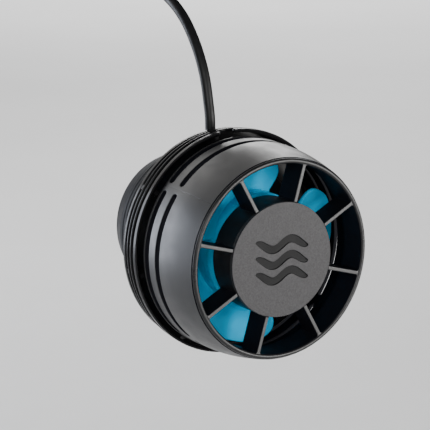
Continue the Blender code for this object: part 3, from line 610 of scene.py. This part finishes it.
def nozzle_inner(depth):
    """Radius of the nozzle's inner skin."""
    narrow, wide = BORE
    start, end = BORE_STEP
    if depth < start:
        return narrow
    if depth < end:
        return narrow + (wide - narrow) * (depth - start) / (end - start)
    return wide + REAR_FLARE * (depth - end) / (NOZZLE_REAR - end)


def slot_edge(bridge, size):
    """(angle, half width) along the slot behind a bridge; size is its half width in the middle."""
    near = bridge + BRIDGE_HALF + SLOT_HALF * SLOT_TURN
    far = bridge + 90 - BRIDGE_HALF - SLOT_HALF * SLOT_TURN
    ends = quarter(9)
    edge = [(near - size * SLOT_TURN * cos(e), size * sin(e)) for e in ends[:-1]]
    edge += [(near + (far - near) * k / 64, size) for k in range(65)]
    edge += [(far + size * SLOT_TURN * cos(e), size * sin(e)) for e in ends[-2::-1]]
    return edge


def slot_columns(grow):
    """(angle, half width of the slot there, on the seam) round the nozzle; grow widens the slot."""
    columns = []
    for bridge in BRIDGES:
        columns += [(bridge + side, 0.0, side == 0.0) for side in BRIDGE_COLUMNS]
        columns += [(*place, False) for place in slot_edge(bridge, SLOT_HALF + grow)]
    return columns


def slotted_rows(radius, grow, front, rear, seam):
    """Sheets of rows, front to rear, of a skin with both rows of slots left open."""
    columns = slot_columns(grow)
    first, second = SLOTS
    low = first - SLOT_HALF - 0.0008
    bands = (
        [front + (low - front) * k / 26 for k in range(27)],
        [first + SLOT_HALF + 0.0007, (first + second) / 2, second - SLOT_HALF - 0.0007],
        [second + SLOT_HALF + 0.0006, rear],
    )

    def row(depth_of):
        places = [(angle, depth_of(half), on_seam) for angle, half, on_seam in columns]
        return [at(radius(d) - (seam if on_seam else 0.0), a, d) for a, d, on_seam in places]

    sheets = []
    for band, depths in enumerate(bands):
        rows = [row(lambda half, d=d: d) for d in depths]
        if band > 0:
            rows.insert(0, row(lambda half: SLOTS[band - 1] + half))
        if band < 2:
            rows.append(row(lambda half: SLOTS[band] - half))
        sheets.append(rows)
    return sheets


def slot_wall(shape, bridge, depth):
    """The wall round one slot: a rounded outer edge, the cut through the wall, an inner edge."""

    def ring(grow, radius_at):
        edge = slot_edge(bridge, SLOT_HALF + grow)
        loop = [(a, depth - half) for a, half in edge]
        loop += [(a, depth + half) for a, half in edge[-2:0:-1]]
        return [at(radius_at(d), a, d) for a, d in loop]

    arcs = quarter(4)
    rings = [
        ring(EDGE * (1 - sin(t)), lambda d, t=t: nozzle_outer(d) - EDGE * (1 - cos(t))) for t in arcs
    ]
    rings += [
        ring(
            INNER_EDGE * (1 - cos(t)) - DRAFT,
            lambda d, t=t: nozzle_inner(d) + INNER_EDGE * (1 - sin(t)),
        )
        for t in arcs
    ]
    shape.grid(rings)


def closing_rows(line):
    """Rows that join the nozzle's outer skin to its inner one along (radius, depth) points."""
    pairs = list(zip(slot_columns(EDGE), slot_columns(INNER_EDGE - DRAFT)))
    rows = []
    for k, (radius, depth) in enumerate(line):
        way = k / (len(line) - 1)
        rows.append([
            at(radius - (SEAM if on_seam and k == 0 else 0.0), start + (end - start) * way, depth)
            for (start, _, on_seam), (end, _, _) in pairs
        ])
    return rows


def make_nozzle():
    """The swept outer shell with two rows of curved slots, a rounded rear edge and four lugs."""
    shape = Shape()
    front, rear = FLANGE + GAP, NOZZLE_REAR - REAR_ROUND
    for rows in slotted_rows(nozzle_outer, EDGE, front, rear, SEAM):
        shape.grid(rows)
    for rows in slotted_rows(nozzle_inner, INNER_EDGE - DRAFT, front, rear, 0.0):
        shape.grid(rows)
    for depth in SLOTS:
        for bridge in BRIDGES:
            slot_wall(shape, bridge, depth)
    shape.grid(closing_rows([(nozzle_outer(front), front), (nozzle_inner(front), front)]))
    outer, inner = nozzle_outer(rear), nozzle_inner(rear)
    arcs = quarter(4)
    rim = [(outer - REAR_ROUND * (1 - cos(t)), rear + REAR_ROUND * sin(t)) for t in arcs]
    rim += [(inner + REAR_ROUND * (1 - sin(t)), rear + REAR_ROUND * cos(t)) for t in arcs]
    shape.grid(closing_rows(rim))
    for bridge in BRIDGES:
        shape.bar(LUG, bridge - LUG_HALF, bridge + LUG_HALF, 0.0004, 8)

    def pick(place, normal):
        """The shell's finish, the polish of its rounded edges, or painted shade on its inside and
        slot walls.
        """
        slope = facing_out(place, normal)
        # faces turned inward, the inner skin and the slot walls, get the painted shade
        return 2 if slope < 0.35 else int(slope < 0.95)

    shape.object(
        "nozzle", SHELL, "front_cage", "nozzle_shell", merge=2e-6,
        pick=pick, others=(RIM_POLISH, SHADE),
    )


VANES = around(8, 29.0)
VANE_HALF = 0.0008  # half its thickness
VANE_FRONT = 0.0004
VANE_REAR = 0.0125
VANE_FLARE = 0.0007  # fillet at each end
VANE_SUNK = 0.0006  # how far each end runs into the hub and the sleeve
CAP_CLEAR = 0.0014  # ahead of this depth a vane keeps off the cap


def vane(shape, angle):
    """A guide vane from hub to ring: rounded front and rear edges, and flared roots."""
    section = rounded((
        (VANE_HALF, VANE_FRONT, 0.00028), (VANE_HALF * 0.8, VANE_REAR, 0.0005),
        (-VANE_HALF * 0.8, VANE_REAR, 0.0005), (-VANE_HALF, VANE_FRONT, 0.00028),
    ), 4)
    span = MOUTH - HUB - 2 * VANE_FLARE
    stations = [HUB - VANE_SUNK]
    stations += [HUB + VANE_FLARE * (k / 6) ** 2 for k in range(7)]
    stations += [HUB + VANE_FLARE + span * k / 10 for k in range(1, 10)]
    stations += [MOUTH - VANE_FLARE * (k / 6) ** 2 for k in range(6, -1, -1)]
    stations.append(MOUTH + VANE_SUNK)
    rows = []
    for radius in stations:
        near = min(max(radius - HUB, 0.0), max(MOUTH - radius, 0.0), VANE_FLARE)
        wide = VANE_FLARE - sqrt(VANE_FLARE ** 2 - (VANE_FLARE - near) ** 2)
        row = []
        for across, depth in section:
            spread = across + wide * across / VANE_HALF
            out = max(radius, HUB + GAP) if depth < CAP_CLEAR else radius
            row.append(beside(out, angle, depth, spread))
        rows.append(row)
    shape.solid(rows)


def make_grille():
    """Flange and sleeve round the mouth, eight guide vanes and the fixed hub."""
    shape = Shape()
    shape.lathe((
        (RIM, 0.0, 0.00095), (RIM, FLANGE, 0.0001), (0.0413, FLANGE), (0.0413, 0.0130, 0.0003),
        (MOUTH, 0.0130, 0.0005), (MOUTH, 0.0, 0.00095),
    ))
    front = FLANGE + GAP
    shape.lathe((
        (HUB, front, 0.00015), (HUB, 0.0150, 0.0008), (HUB - 0.0016, 0.0150, 0.0003),
        (HUB - 0.0016, front + 0.0016, 0.0006), (0.0055, front + 0.0016, 0.0006),
        (0.0055, 0.0120, 0.0002), (0.0039, 0.0120), (0.0039, 0.0050), (0.0012, 0.0050),
        (0.0012, front),
    ))
    for angle in VANES:
        vane(shape, angle)

    def pick(place, normal):
        """Polish on the rim, the shell's finish in front, lighter painted shade on the hub's side,
        darker painted shade on the rest.
        """
        if off_axis(place) > MOUTH + 0.0001 and place.y < 0.002 - LENGTH:
            return 1
        if normal.y < -0.5:
            return 0
        # the hub's side gets its lighter painted shade, all other faces the darker painted shade
        return 3 if facing_out(place, normal) > 0.9 else 2

    shape.object(
        "grille", SHELL, "front_cage", "guide_grille", pick=pick,
        others=(RIM_POLISH, SHADE, HUB_SIDE_SHADE),
    )


CAP_REAR = 0.0012
CAP_EDGE = 0.00028  # rounding of the rim
WAVE_HEIGHTS = (0.0066, 0.0, -0.0066)
WAVE_HALF_LENGTH = 0.0128
WAVE_HALF_WIDTH = 0.0017
WAVE_RISE = 0.0019
WAVE_SUNK = 0.0005
WAVE_ROUND = 0.00014  # rounding of the waves' top and bottom edges
WAVE_DRAFT = 0.00004  # how much narrower they are at the bottom


def wave_loop(height, grow, drop):
    """The outline of one wave of the emblem, grown by grow, as points sunk by drop."""
    count = 48
    upper, lower = [], []
    for i in range(count + 1):
        way = -cos(pi * i / count)
        middle = Vector((WAVE_HALF_LENGTH * way, height + WAVE_RISE * sin(3 * pi * way / 2)))
        slope = WAVE_RISE * 3 * pi / 2 * cos(3 * pi * way / 2) / WAVE_HALF_LENGTH
        side = Vector((-slope, 1.0)).normalized()
        reach = WAVE_HALF_WIDTH * sqrt(max(0.0, 1 - way ** 4))
        reach += grow * sqrt(max(0.0, 1 - way ** 14))
        end = Vector((side.y, -side.x)) * grow * way ** 7
        upper.append(middle + side * reach + end)
        lower.append(middle - side * reach + end)
    return [Vector((p.x, drop - LENGTH, p.y)) for p in upper + lower[-2:0:-1]]


def make_cap():
    """The flush disc on the hub: softly rounded rim, satin face, three sunk waves, one mesh."""
    shape = Shape()
    arcs = quarter(5)
    rim = [(HUB - CAP_EDGE * (1 - sin(t)), CAP_EDGE * (1 - cos(t))) for t in arcs]
    rim += [(HUB, CAP_REAR), (0.0, CAP_REAR)]
    shape.grid([[at(r, a, d) for a in around(SIDES)] for r, d in rim])
    arcs = quarter(3)
    holes = []
    for height in WAVE_HEIGHTS:
        rings = [
            wave_loop(height, WAVE_ROUND * (1 - sin(t)), WAVE_ROUND * (1 - cos(t))) for t in arcs
        ]
        rings += [
            wave_loop(
                height, -WAVE_DRAFT - WAVE_ROUND * (1 - cos(t)),
                WAVE_SUNK - WAVE_ROUND + WAVE_ROUND * sin(t),
            )
            for t in arcs
        ]
        shape.grid(rings)
        hole, floor = ([Vector((p.x, p.z)) for p in ring] for ring in (rings[0], rings[-1]))
        holes.append(hole)
        shape.flat(floor, [], lambda p: Vector((p.x, WAVE_SUNK - LENGTH, p.y)))
    shape.flat(disc(HUB - CAP_EDGE, SIDES), holes, lambda p: Vector((p.x, -LENGTH, p.y)))

    def pick(place, normal):
        """Painted shade on the sunk waves' walls and floor, and the cap's finish everywhere else."""
        sunk = WAVE_ROUND < place.y + LENGTH < WAVE_SUNK + WAVE_ROUND
        return int(sunk and off_axis(place) < HUB - 0.002)

    shape.object(
        "cap", CAP, "front_cage", "hub_cap", merge=1e-6, sharp=40.0, pick=pick, others=(EMBLEM_SHADE,)
    )


# ---------------- propeller
PROP_HUB = 0.0245
BLADES = around(3, 111.0)
BLADE_ROOT = 0.0236
BLADE_TIP = 0.0396
BLADE_SPREAD = 54.0  # degrees each side of its middle
BLADE_DEPTH = 0.0238  # depth of its middle
BLADE_PITCH = 0.0064  # how far its sides lie before and behind that
BLADE_HALF = 0.00085  # half its thickness
BLADE_ROUND = 0.0011  # how far in the rounding of its edges reaches
FILLET = 0.0014  # how far out the fillet at the hub reaches
FILLET_RISE = 0.0007


def blade_point(middle, across, outward):
    """A point on a blade's middle surface; across runs -1..1 round the axis, outward 0..1."""
    radius = BLADE_ROOT + (BLADE_TIP - BLADE_ROOT) * outward
    ends = 1 - 0.07 * (1 - outward) ** 2 - 0.30 * outward ** 5
    angle = middle + across * BLADE_SPREAD * ends
    return at(radius, angle, BLADE_DEPTH - BLADE_PITCH * across * ends)


def blade_skins(sheet):
    """The two skins of a blade, from the rows of points on its middle surface."""
    skins = ([], [])
    for j, row in enumerate(sheet):
        lines = ([], [])
        for i, place in enumerate(row):
            along = row[min(i + 1, len(row) - 1)] - row[max(i - 1, 0)]
            outer = sheet[min(j + 1, len(sheet) - 1)][i] - sheet[max(j - 1, 0)][i]
            normal = along.cross(outer)
            normal = normal.normalized() if normal.length > 1e-12 else Vector((0, 1, 0))
            edge = min((place - end).length for end in (row[0], row[-1], sheet[-1][i]))
            way = min(1.0, edge / BLADE_ROUND)
            half = BLADE_HALF * sqrt(max(0.0, 1 - (1 - way) ** 2))
            reach = off_axis(place) - PROP_HUB
            root = max(0.0, 1 - max(0.0, reach) / FILLET)
            half += FILLET_RISE * root * root * min(1.0, way * 2)
            lines[0].append(place + normal * half)
            lines[1].append(place - normal * half)
        skins[0].append(lines[0])
        skins[1].append(lines[1])
    return skins


def make_propeller():
    """Hub and three wide blades with full round edges and a soft fillet into the hub."""
    shape = Shape()
    shape.lathe((
        (PROP_HUB, 0.0160, 0.0025), (PROP_HUB, 0.0345, 0.0004), (0.0227, 0.0345, 0.0004),
        (0.0227, 0.0185, 0.0010), (0.0070, 0.0185, 0.0010), (0.0070, 0.0362, 0.0003),
        (0.0018, 0.0362), (0.0018, 0.0160, 0.0003),
    ), 8, sides=192)
    over, out = 72, 26
    for middle in BLADES:
        sheet = []
        for j in range(out + 1):
            outward = sin(pi / 2 * j / out)
            sheet.append([
                blade_point(middle, -cos(pi * i / over), outward) for i in range(over + 1)
            ])
        front, back = blade_skins(sheet)
        shape.grid(front, wrap=False)
        shape.grid(back, wrap=False)
        shape.grid([front[0], back[0]], wrap=False)
    # the merge distance also closes the thin corners of the blades
    shape.object(
        "impeller", BLADE, "propeller", "propeller", merge=0.00004,
        pick=lambda place, normal: int(facing_out(place, normal) > 0.75), others=(BLADE_EDGE,),
    )


# ---------------- intake cage and motor
RIBS = around(8, 11.0)


def hoop(shape, outer, inner, front, rear, lean, first=0.0, last=360.0):
    """An intake hoop, rounded outside; its front face leans back by lean towards the inside."""
    soft = min(0.0005, (rear - front) * 0.34)
    section = (
        (outer, front, soft), (outer, rear, soft), (inner, rear, 0.0002),
        (inner, front + lean, 0.0002),
    )
    if last - first < 360.0:
        shape.bar(section, first, last, 0.0008, 200)
    else:
        shape.lathe(section, 4)


def rib(shape, angle, inner, outer, half, front, rear):
    """A radial rib with rounded corners."""
    section = rounded((
        (half, front, 0.0004), (half, rear, 0.0002), (-half, rear, 0.0002), (-half, front, 0.0004)
    ), 3)
    ends = ((inner, 0.72), (inner + 0.00012, 0.9), (inner + 0.0004, 1.0), (outer, 1.0))
    shape.solid([[beside(radius, angle, d, t * size) for t, d in section] for radius, size in ends])


def make_cage():
    """Collar, three hoops on eight ribs, and the back plate, moulded in one."""
    shape = Shape()
    shape.lathe((
        (0.0430, 0.0315, 0.0003), (0.0430, 0.0365, 0.0003), (0.0404, 0.0365, 0.0005),
        (0.0404, 0.0315, 0.0005),
    ), 4)
    hoop(
        shape, outer=0.0483, inner=0.0466, front=0.0352, rear=0.0384, lean=0.0018, first=98.0,
        last=450.6,
    )
    hoop(shape, outer=0.0480, inner=0.0464, front=0.0402, rear=0.0417, lean=0.0005)
    hoop(shape, outer=0.0475, inner=0.0460, front=0.0436, rear=0.0450, lean=0.0004)
    shape.lathe((
        (0.0470, 0.0468, 0.0004), (0.0470, 0.0494, 0.0012), (0.0333, 0.0494, 0.0002),
        (0.0333, 0.0468, 0.0002),
    ), 6)
    for angle in RIBS:
        rib(shape, angle, inner=0.0412, outer=0.0468, half=0.0010, front=0.0360, rear=0.0479)
    shape.object("cage", CAGE, "motor", "intake_cage")


def make_motor():
    """The sealed motor can with its nose and the flange that carries the cage."""
    shape = Shape()
    shape.lathe((
        (0.0, 0.0660), (0.0040, 0.0660), (0.0040, 0.0612), (0.0106, 0.0612, 0.0006),
        (0.0106, 0.0366, 0.0006), (0.0330, 0.0366, 0.0012), (0.0330, 0.0497, 0.0004),
        (0.0345, 0.0497, 0.0003), (0.0345, 0.0690, 0.0003), (0.0310, 0.0690), (0.0310, 0.0386),
        (0.0118, 0.0386), (0.0118, 0.0624), (0.0052, 0.0624), (0.0052, 0.0672), (0.0, 0.0672),
    ), 6, closed=False)
    shape.bar((
        (0.0395, 0.0497, 0.0003), (0.0395, 0.0526, 0.0008), (0.0338, 0.0526, 0.0003),
        (0.0338, 0.0497, 0.0003),
    ), 101.5, 438.5, 0.0008, 220)
    shape.spin((
        (0.0, -0.0352), (0.0036, -0.0352), (0.0036, -0.0348), (0.0064, -0.0348, 0.0005),
        (0.0064, -0.0325), (0.0, -0.0325),
    ), (0.0, GLAND.y, 0.0), (0, 0, -1), closed=False, sides=64)
    shape.object("motor_can", MOTOR, "motor", "motor_housing")


def turned(name, finish, node, outline, steps=5, closed=True):
    """A turned piece of the motor's body, in place of a CAD node."""
    shape = Shape()
    shape.lathe(outline, steps, closed)
    shape.object(name, finish, "motor", node)


def make_rear():
    """Back cover, magnet housing and the ringed rubber pad that grips the pane."""
    turned("back_cover", MOTOR, "motor_back_cover", (
        (0.0, 0.0676), (0.0306, 0.0676, 0.0003), (0.0306, 0.0693), (0.0345, 0.0693, 0.0003),
        (0.0345, 0.0713, 0.0003), (0.0, 0.0713),
    ), closed=False)
    turned("magnet_cup", MOTOR, "magnet_housing", (
        (0.0345, 0.0716, 0.0003), (0.0343, 0.0740, 0.0016), (0.0294, 0.0862, 0.0007),
        (0.0271, 0.0862, 0.0003), (0.0271, 0.0847), (0.0, 0.0847), (0.0, 0.0831),
        (0.0255, 0.0831), (0.0323, 0.0740, 0.0010), (0.0325, 0.0716, 0.0002),
    ), 8)
    face = [(0.0, 0.0850), (0.0268, 0.0850, 0.0002), (0.0268, LENGTH, 0.0005)]
    for radius in (0.0222, 0.0164, 0.0106):
        face += [
            (radius + 0.0005, LENGTH, 0.00015), (radius + 0.0003, 0.0866, 0.00015),
            (radius - 0.0003, 0.0866, 0.00015), (radius - 0.0005, LENGTH, 0.00015),
        ]
    turned("pane_pad", RUBBER, "glass_pad", [*face, (0.0, LENGTH)], closed=False)


SCREWS = around(4, 45.0)
SCREW_CIRCLE = 0.0368  # radius on which the screws lie
SCREW_TIP = 0.0462
SCREW_HEAD = 0.0529  # depth of the underside of the head
SCREW_HEAD_RADIUS = 0.0022
SCREW_RECESS = 0.0008
SCREW_SIDES = 48


def make_screw(name, angle):
    """A pan-head screw that points forward, with a cross recess in its head."""
    shape = Shape()
    centre = at(SCREW_CIRCLE, angle, 0.0)
    top = SCREW_HEAD + 0.0014
    flat = SCREW_HEAD_RADIUS * 0.62
    shape.spin((
        (0.0, SCREW_TIP), (0.0009, SCREW_TIP), (0.0012, SCREW_TIP + 0.0008), (0.0012, SCREW_HEAD),
        (SCREW_HEAD_RADIUS, SCREW_HEAD, 0.0002), (SCREW_HEAD_RADIUS, top - 0.0005, 0.0004),
        (flat, top),
    ), (centre.x, -LENGTH, centre.z), (0, 1, 0), closed=False, sides=SCREW_SIDES)
    arm, half = SCREW_HEAD_RADIUS * 0.48, SCREW_HEAD_RADIUS * 0.15
    cross = []
    for k in range(4):
        turn = Matrix.Rotation(pi / 2 * k, 2)
        cross += [turn @ Vector(p) for p in ((arm, -half), (arm, half), (half, half))]
    floor = [p * 0.8 for p in cross]

    def lift(depth):
        """Turns a 2-D point on the head into a 3-D one at a depth."""
        return lambda p: Vector((centre.x + p.x, depth - LENGTH, centre.z + p.y))

    shape.flat(disc(flat, SCREW_SIDES), [cross], lift(top))
    shape.grid([
        [lift(top)(p) for p in cross], [lift(top - SCREW_RECESS)(p) for p in floor],
    ])
    shape.flat(floor, [], lift(top - SCREW_RECESS))
    shape.object(f"{name}_steel", STEEL, "motor", name, sharp=30.0)


def make_gland():
    """The cable's rubber gland: a seat collar and a tapered, ringed strain relief."""
    shape = Shape()
    outline = [(0.0, -0.0434), (0.00285, -0.0434, 0.0003)]
    for k in range(4):
        z = -0.0425 + k * 0.0013
        wide = 0.0029 + 0.00125 * (k + 0.3) / 4
        outline += [
            (wide, z, 0.00012), (wide - 0.00045, z + 0.0002, 0.00012),
            (wide - 0.00040, z + 0.0006, 0.00012), (wide + 0.00015, z + 0.0008, 0.00012),
        ]
    outline += [
        (0.0042, -0.0374, 0.0002), (0.0058, -0.0374, 0.0005), (0.0058, -0.0349, 0.0003),
        (0.0036, -0.0349), (0.0036, -0.0304), (0.0, -0.0304),
    ]
    shape.spin(outline, (0.0, GLAND.y, 0.0), (0, 0, -1), 4, closed=False, sides=96)
    shape.object("gland", RUBBER, "motor", "cable_gland")


def make_tie():
    """A hook-and-loop strap round the bundle of turns, with its end lapped over."""
    shape = Shape()
    angle = radians(TIE_ANGLE)
    middle = COIL_CENTRE + COIL_TURN * Vector((cos(angle), sin(angle), 0))
    out, along = Vector((cos(angle), sin(angle), 0)), Vector((-sin(angle), cos(angle), 0))
    up = Vector((0, 0, 1))
    half_x, half_z, corner = 0.0071, 0.0092, 0.0024

    def loop(grow):
        """A rounded rectangle round the bundle, grown by grow."""
        points = []
        for sx, sz, first in ((1, 1, 0), (-1, 1, 90), (-1, -1, 180), (1, -1, 270)):
            for k in range(11):
                a = radians(first + 90 * k / 10)
                points.append(Vector((
                    sx * (half_x - corner) + (corner + grow) * cos(a),
                    sz * (half_z - corner) + (corner + grow) * sin(a),
                )))
        return points

    def band(points, wide, thick, wrap):
        """A flat strap along points; wrap joins its two ends, or else each gets a face."""
        section = rounded((
            (wide, 0.0, 0.0002), (wide, thick, 0.0002), (-wide, thick, 0.0002), (-wide, 0.0, 0.0002)
        ), 3)
        rows = []
        for i, here in enumerate(points):
            ahead = points[(i + 1) % len(points)] if wrap else points[min(i + 1, len(points) - 1)]
            behind = points[i - 1] if wrap or i else here
            way = (ahead - behind).normalized()
            lifted = [(side, here + Vector((way.y, -way.x)) * rise) for side, rise in section]
            rows.append([middle + along * side + out * p.x + up * p.y for side, p in lifted])
        if wrap:
            shape.grid([*rows, rows[0]])
        else:
            shape.solid(rows)

    band(loop(0.0), 0.0026, 0.0006, True)
    band(loop(0.0006)[4:20], 0.0023, 0.0003, False)
    return shape.object("strap", RUBBER, "motor", "coil_tie")


BOOT_LENGTH = 0.0100
COLLAR_LENGTH = 0.0090  # of the connector's thick end
SOCKET_DEPTH = 0.0140  # from there to the floor of its socket


def make_plug():
    """The round lead connector: ringed boot, body, knurled coupling ring and brass pin."""
    x, y, z = TAIL[-1]
    forward = Vector((0, -1, 0))
    made = []

    def part(name, finish, node, outline, start, **form):
        """A turned piece of the connector, in place of a CAD node."""
        shape = Shape()
        shape.spin(outline, start, forward, **form)
        made.append(shape.object(name, finish, "motor", node))

    outline = [(0.0, 0.0), (0.00265, 0.0, 0.0003)]
    for k in range(4):
        groove = 0.0014 + k * 0.0017
        wide = 0.00280 + 0.00019 * k
        outline += [
            (wide, groove, 0.0001), (wide - 0.0004, groove + 0.0002, 0.0001),
            (wide - 0.0004, groove + 0.0007, 0.0001), (wide + 0.0001, groove + 0.0009, 0.0001),
        ]
    outline += [(0.0038, 0.0088, 0.0003), (0.0038, BOOT_LENGTH, 0.0002), (0.0, BOOT_LENGTH)]
    start = Vector((x, y - GAP, z))
    part("lead_boot", RUBBER, "plug_boot", outline, start, steps=3, closed=False, sides=72)
    start = start + forward * (BOOT_LENGTH + GAP)
    part("lead_connector", MOTOR, "plug_body", (
        (0.0, 0.0), (0.0043, 0.0, 0.0006), (0.0043, COLLAR_LENGTH, 0.0003),
        (0.0038, COLLAR_LENGTH, 0.0002), (0.0038, 0.0200, 0.0003), (0.0031, 0.0200, 0.0002),
        (0.0031, SOCKET_DEPTH), (0.0, SOCKET_DEPTH),
    ), start, closed=False, sides=96)
    part("coupling_ring", MOTOR, "plug_ring", (
        (0.0047, 0.0, 0.0004), (0.0047, 0.0090, 0.0004), (0.0041, 0.0090), (0.0041, 0.0),
    ), start + forward * (COLLAR_LENGTH + GAP), sides=144, knurl=(24, 0.00022, 0.0044))
    part("contact_pin", BRASS, "plug_pin", (
        (0.0, 0.0), (0.0009, 0.0), (0.0009, 0.0045, 0.0005), (0.0, 0.0045),
    ), start + forward * (SOCKET_DEPTH + GAP), closed=False, sides=32)
    return made


# ---------------- the whole pump
cable_run = make_cable()
make_nozzle()
make_grille()
make_cap()
make_propeller()
make_cage()
make_motor()
make_rear()
make_gland()
strap = make_tie()
plug = make_plug()
for number, angle in enumerate(SCREWS):
    make_screw(f"cage_screw_{number + 1}", angle)

FINISHES = {
    "front_shaft_bush": RUBBER, "rear_shaft_bush": RUBBER, "cover_seal": RUBBER,
    "ceramic_shaft": CERAMIC, "rotor_bearing": CERAMIC,
    "rotor_magnet": MAGNET, "mount_magnet": MAGNET,
    "rotor_sleeve": WASHER, "rotor_end_cap": WASHER,
    "front_thrust_washer": WASHER, "rear_thrust_washer": WASHER,
    "stator_core": STEEL, "magnet_yoke": STEEL, "driver_board": BOARD,
}
FINISHES.update({f"cover_screw_{i + 1}": STEEL for i in range(4)})
FINISHES.update({f"stator_coil_{i + 1}": COPPER for i in range(6)})
for node_name, finish in FINISHES.items():
    for slot in nodes[node_name].material_slots:
        slot.material = finish


# ---------------- floor and light
FLOOR_HEIGHT = -0.30
FLOOR_HALF = 8.0


def make_floor():
    """A plain pale floor."""
    mesh = bpy.data.meshes.new("floor")
    corners = ((-1, -1), (1, -1), (1, 1), (-1, 1))
    mesh.from_pydata(
        [(x * FLOOR_HALF, y * FLOOR_HALF, FLOOR_HEIGHT) for x, y in corners], [], [(0, 1, 2, 3)]
    )
    n = Nodes("floor")
    n.set(
        Base_Color=n.shades(n.noise(3.0), (0.74, 0.74, 0.74), (0.78, 0.78, 0.78)),
        Roughness=n.span(n.noise(40.0), 0.7, 0.8),
    )
    mesh.materials.append(n.material)
    floor = bpy.data.objects.new("floor", mesh)
    scene.collection.objects.link(floor)


def softbox(name, place, size, power, colour, target=(0.0, -0.04, 0.0)):
    """A rectangular area light that faces target, the middle of the pump unless told otherwise."""
    lamp = bpy.data.lights.new(name, "AREA")
    lamp.shape = "RECTANGLE"
    lamp.size, lamp.size_y = size
    lamp.energy = power
    lamp.color = colour
    made = bpy.data.objects.new(name, lamp)
    made.location = place
    made.rotation_euler = (Vector(place) - Vector(target)).to_track_quat("Z", "Y").to_euler()
    made.visible_camera = False
    scene.collection.objects.link(made)


def make_world(seen, lit):
    """A pale studio wall: seen is how bright it looks, lit is how much light it gives."""
    world = bpy.data.worlds.new("studio")
    world.use_nodes = True
    tree = world.node_tree
    path = tree.nodes.new("ShaderNodeLightPath")
    strength = tree.nodes.new("ShaderNodeMapRange")
    strength.inputs["To Min"].default_value = lit
    strength.inputs["To Max"].default_value = seen
    tree.links.new(path.outputs["Is Camera Ray"], strength.inputs["Value"])
    background = tree.nodes["Background"]
    background.inputs["Color"].default_value = (0.80, 0.81, 0.83, 1)
    tree.links.new(strength.outputs["Result"], background.inputs["Strength"])
    scene.world = world


make_floor()
softbox("front", (0.82, -1.33, -0.02), (1.1, 0.9), 40.0, (1.0, 0.99, 0.97))
softbox("left_rear", (-1.05, 1.25, 0.05), (0.8, 1.3), 35.0, (0.84, 0.89, 1.0))
softbox("top", (0.05, 1.30, 0.95), (2.3, 1.3), 20.0, (1.0, 0.985, 0.96))
softbox("fill", (-1.0, -1.35, 0.55), (1.0, 1.0), 19.0, (1.0, 1.0, 1.0))
softbox("backdrop", (1.9, 3.0, 1.3), (2.0, 2.0), 80.0, (1.0, 1.0, 1.0), (1.4, 2.4, -0.3))
make_world(0.84, 0.12)
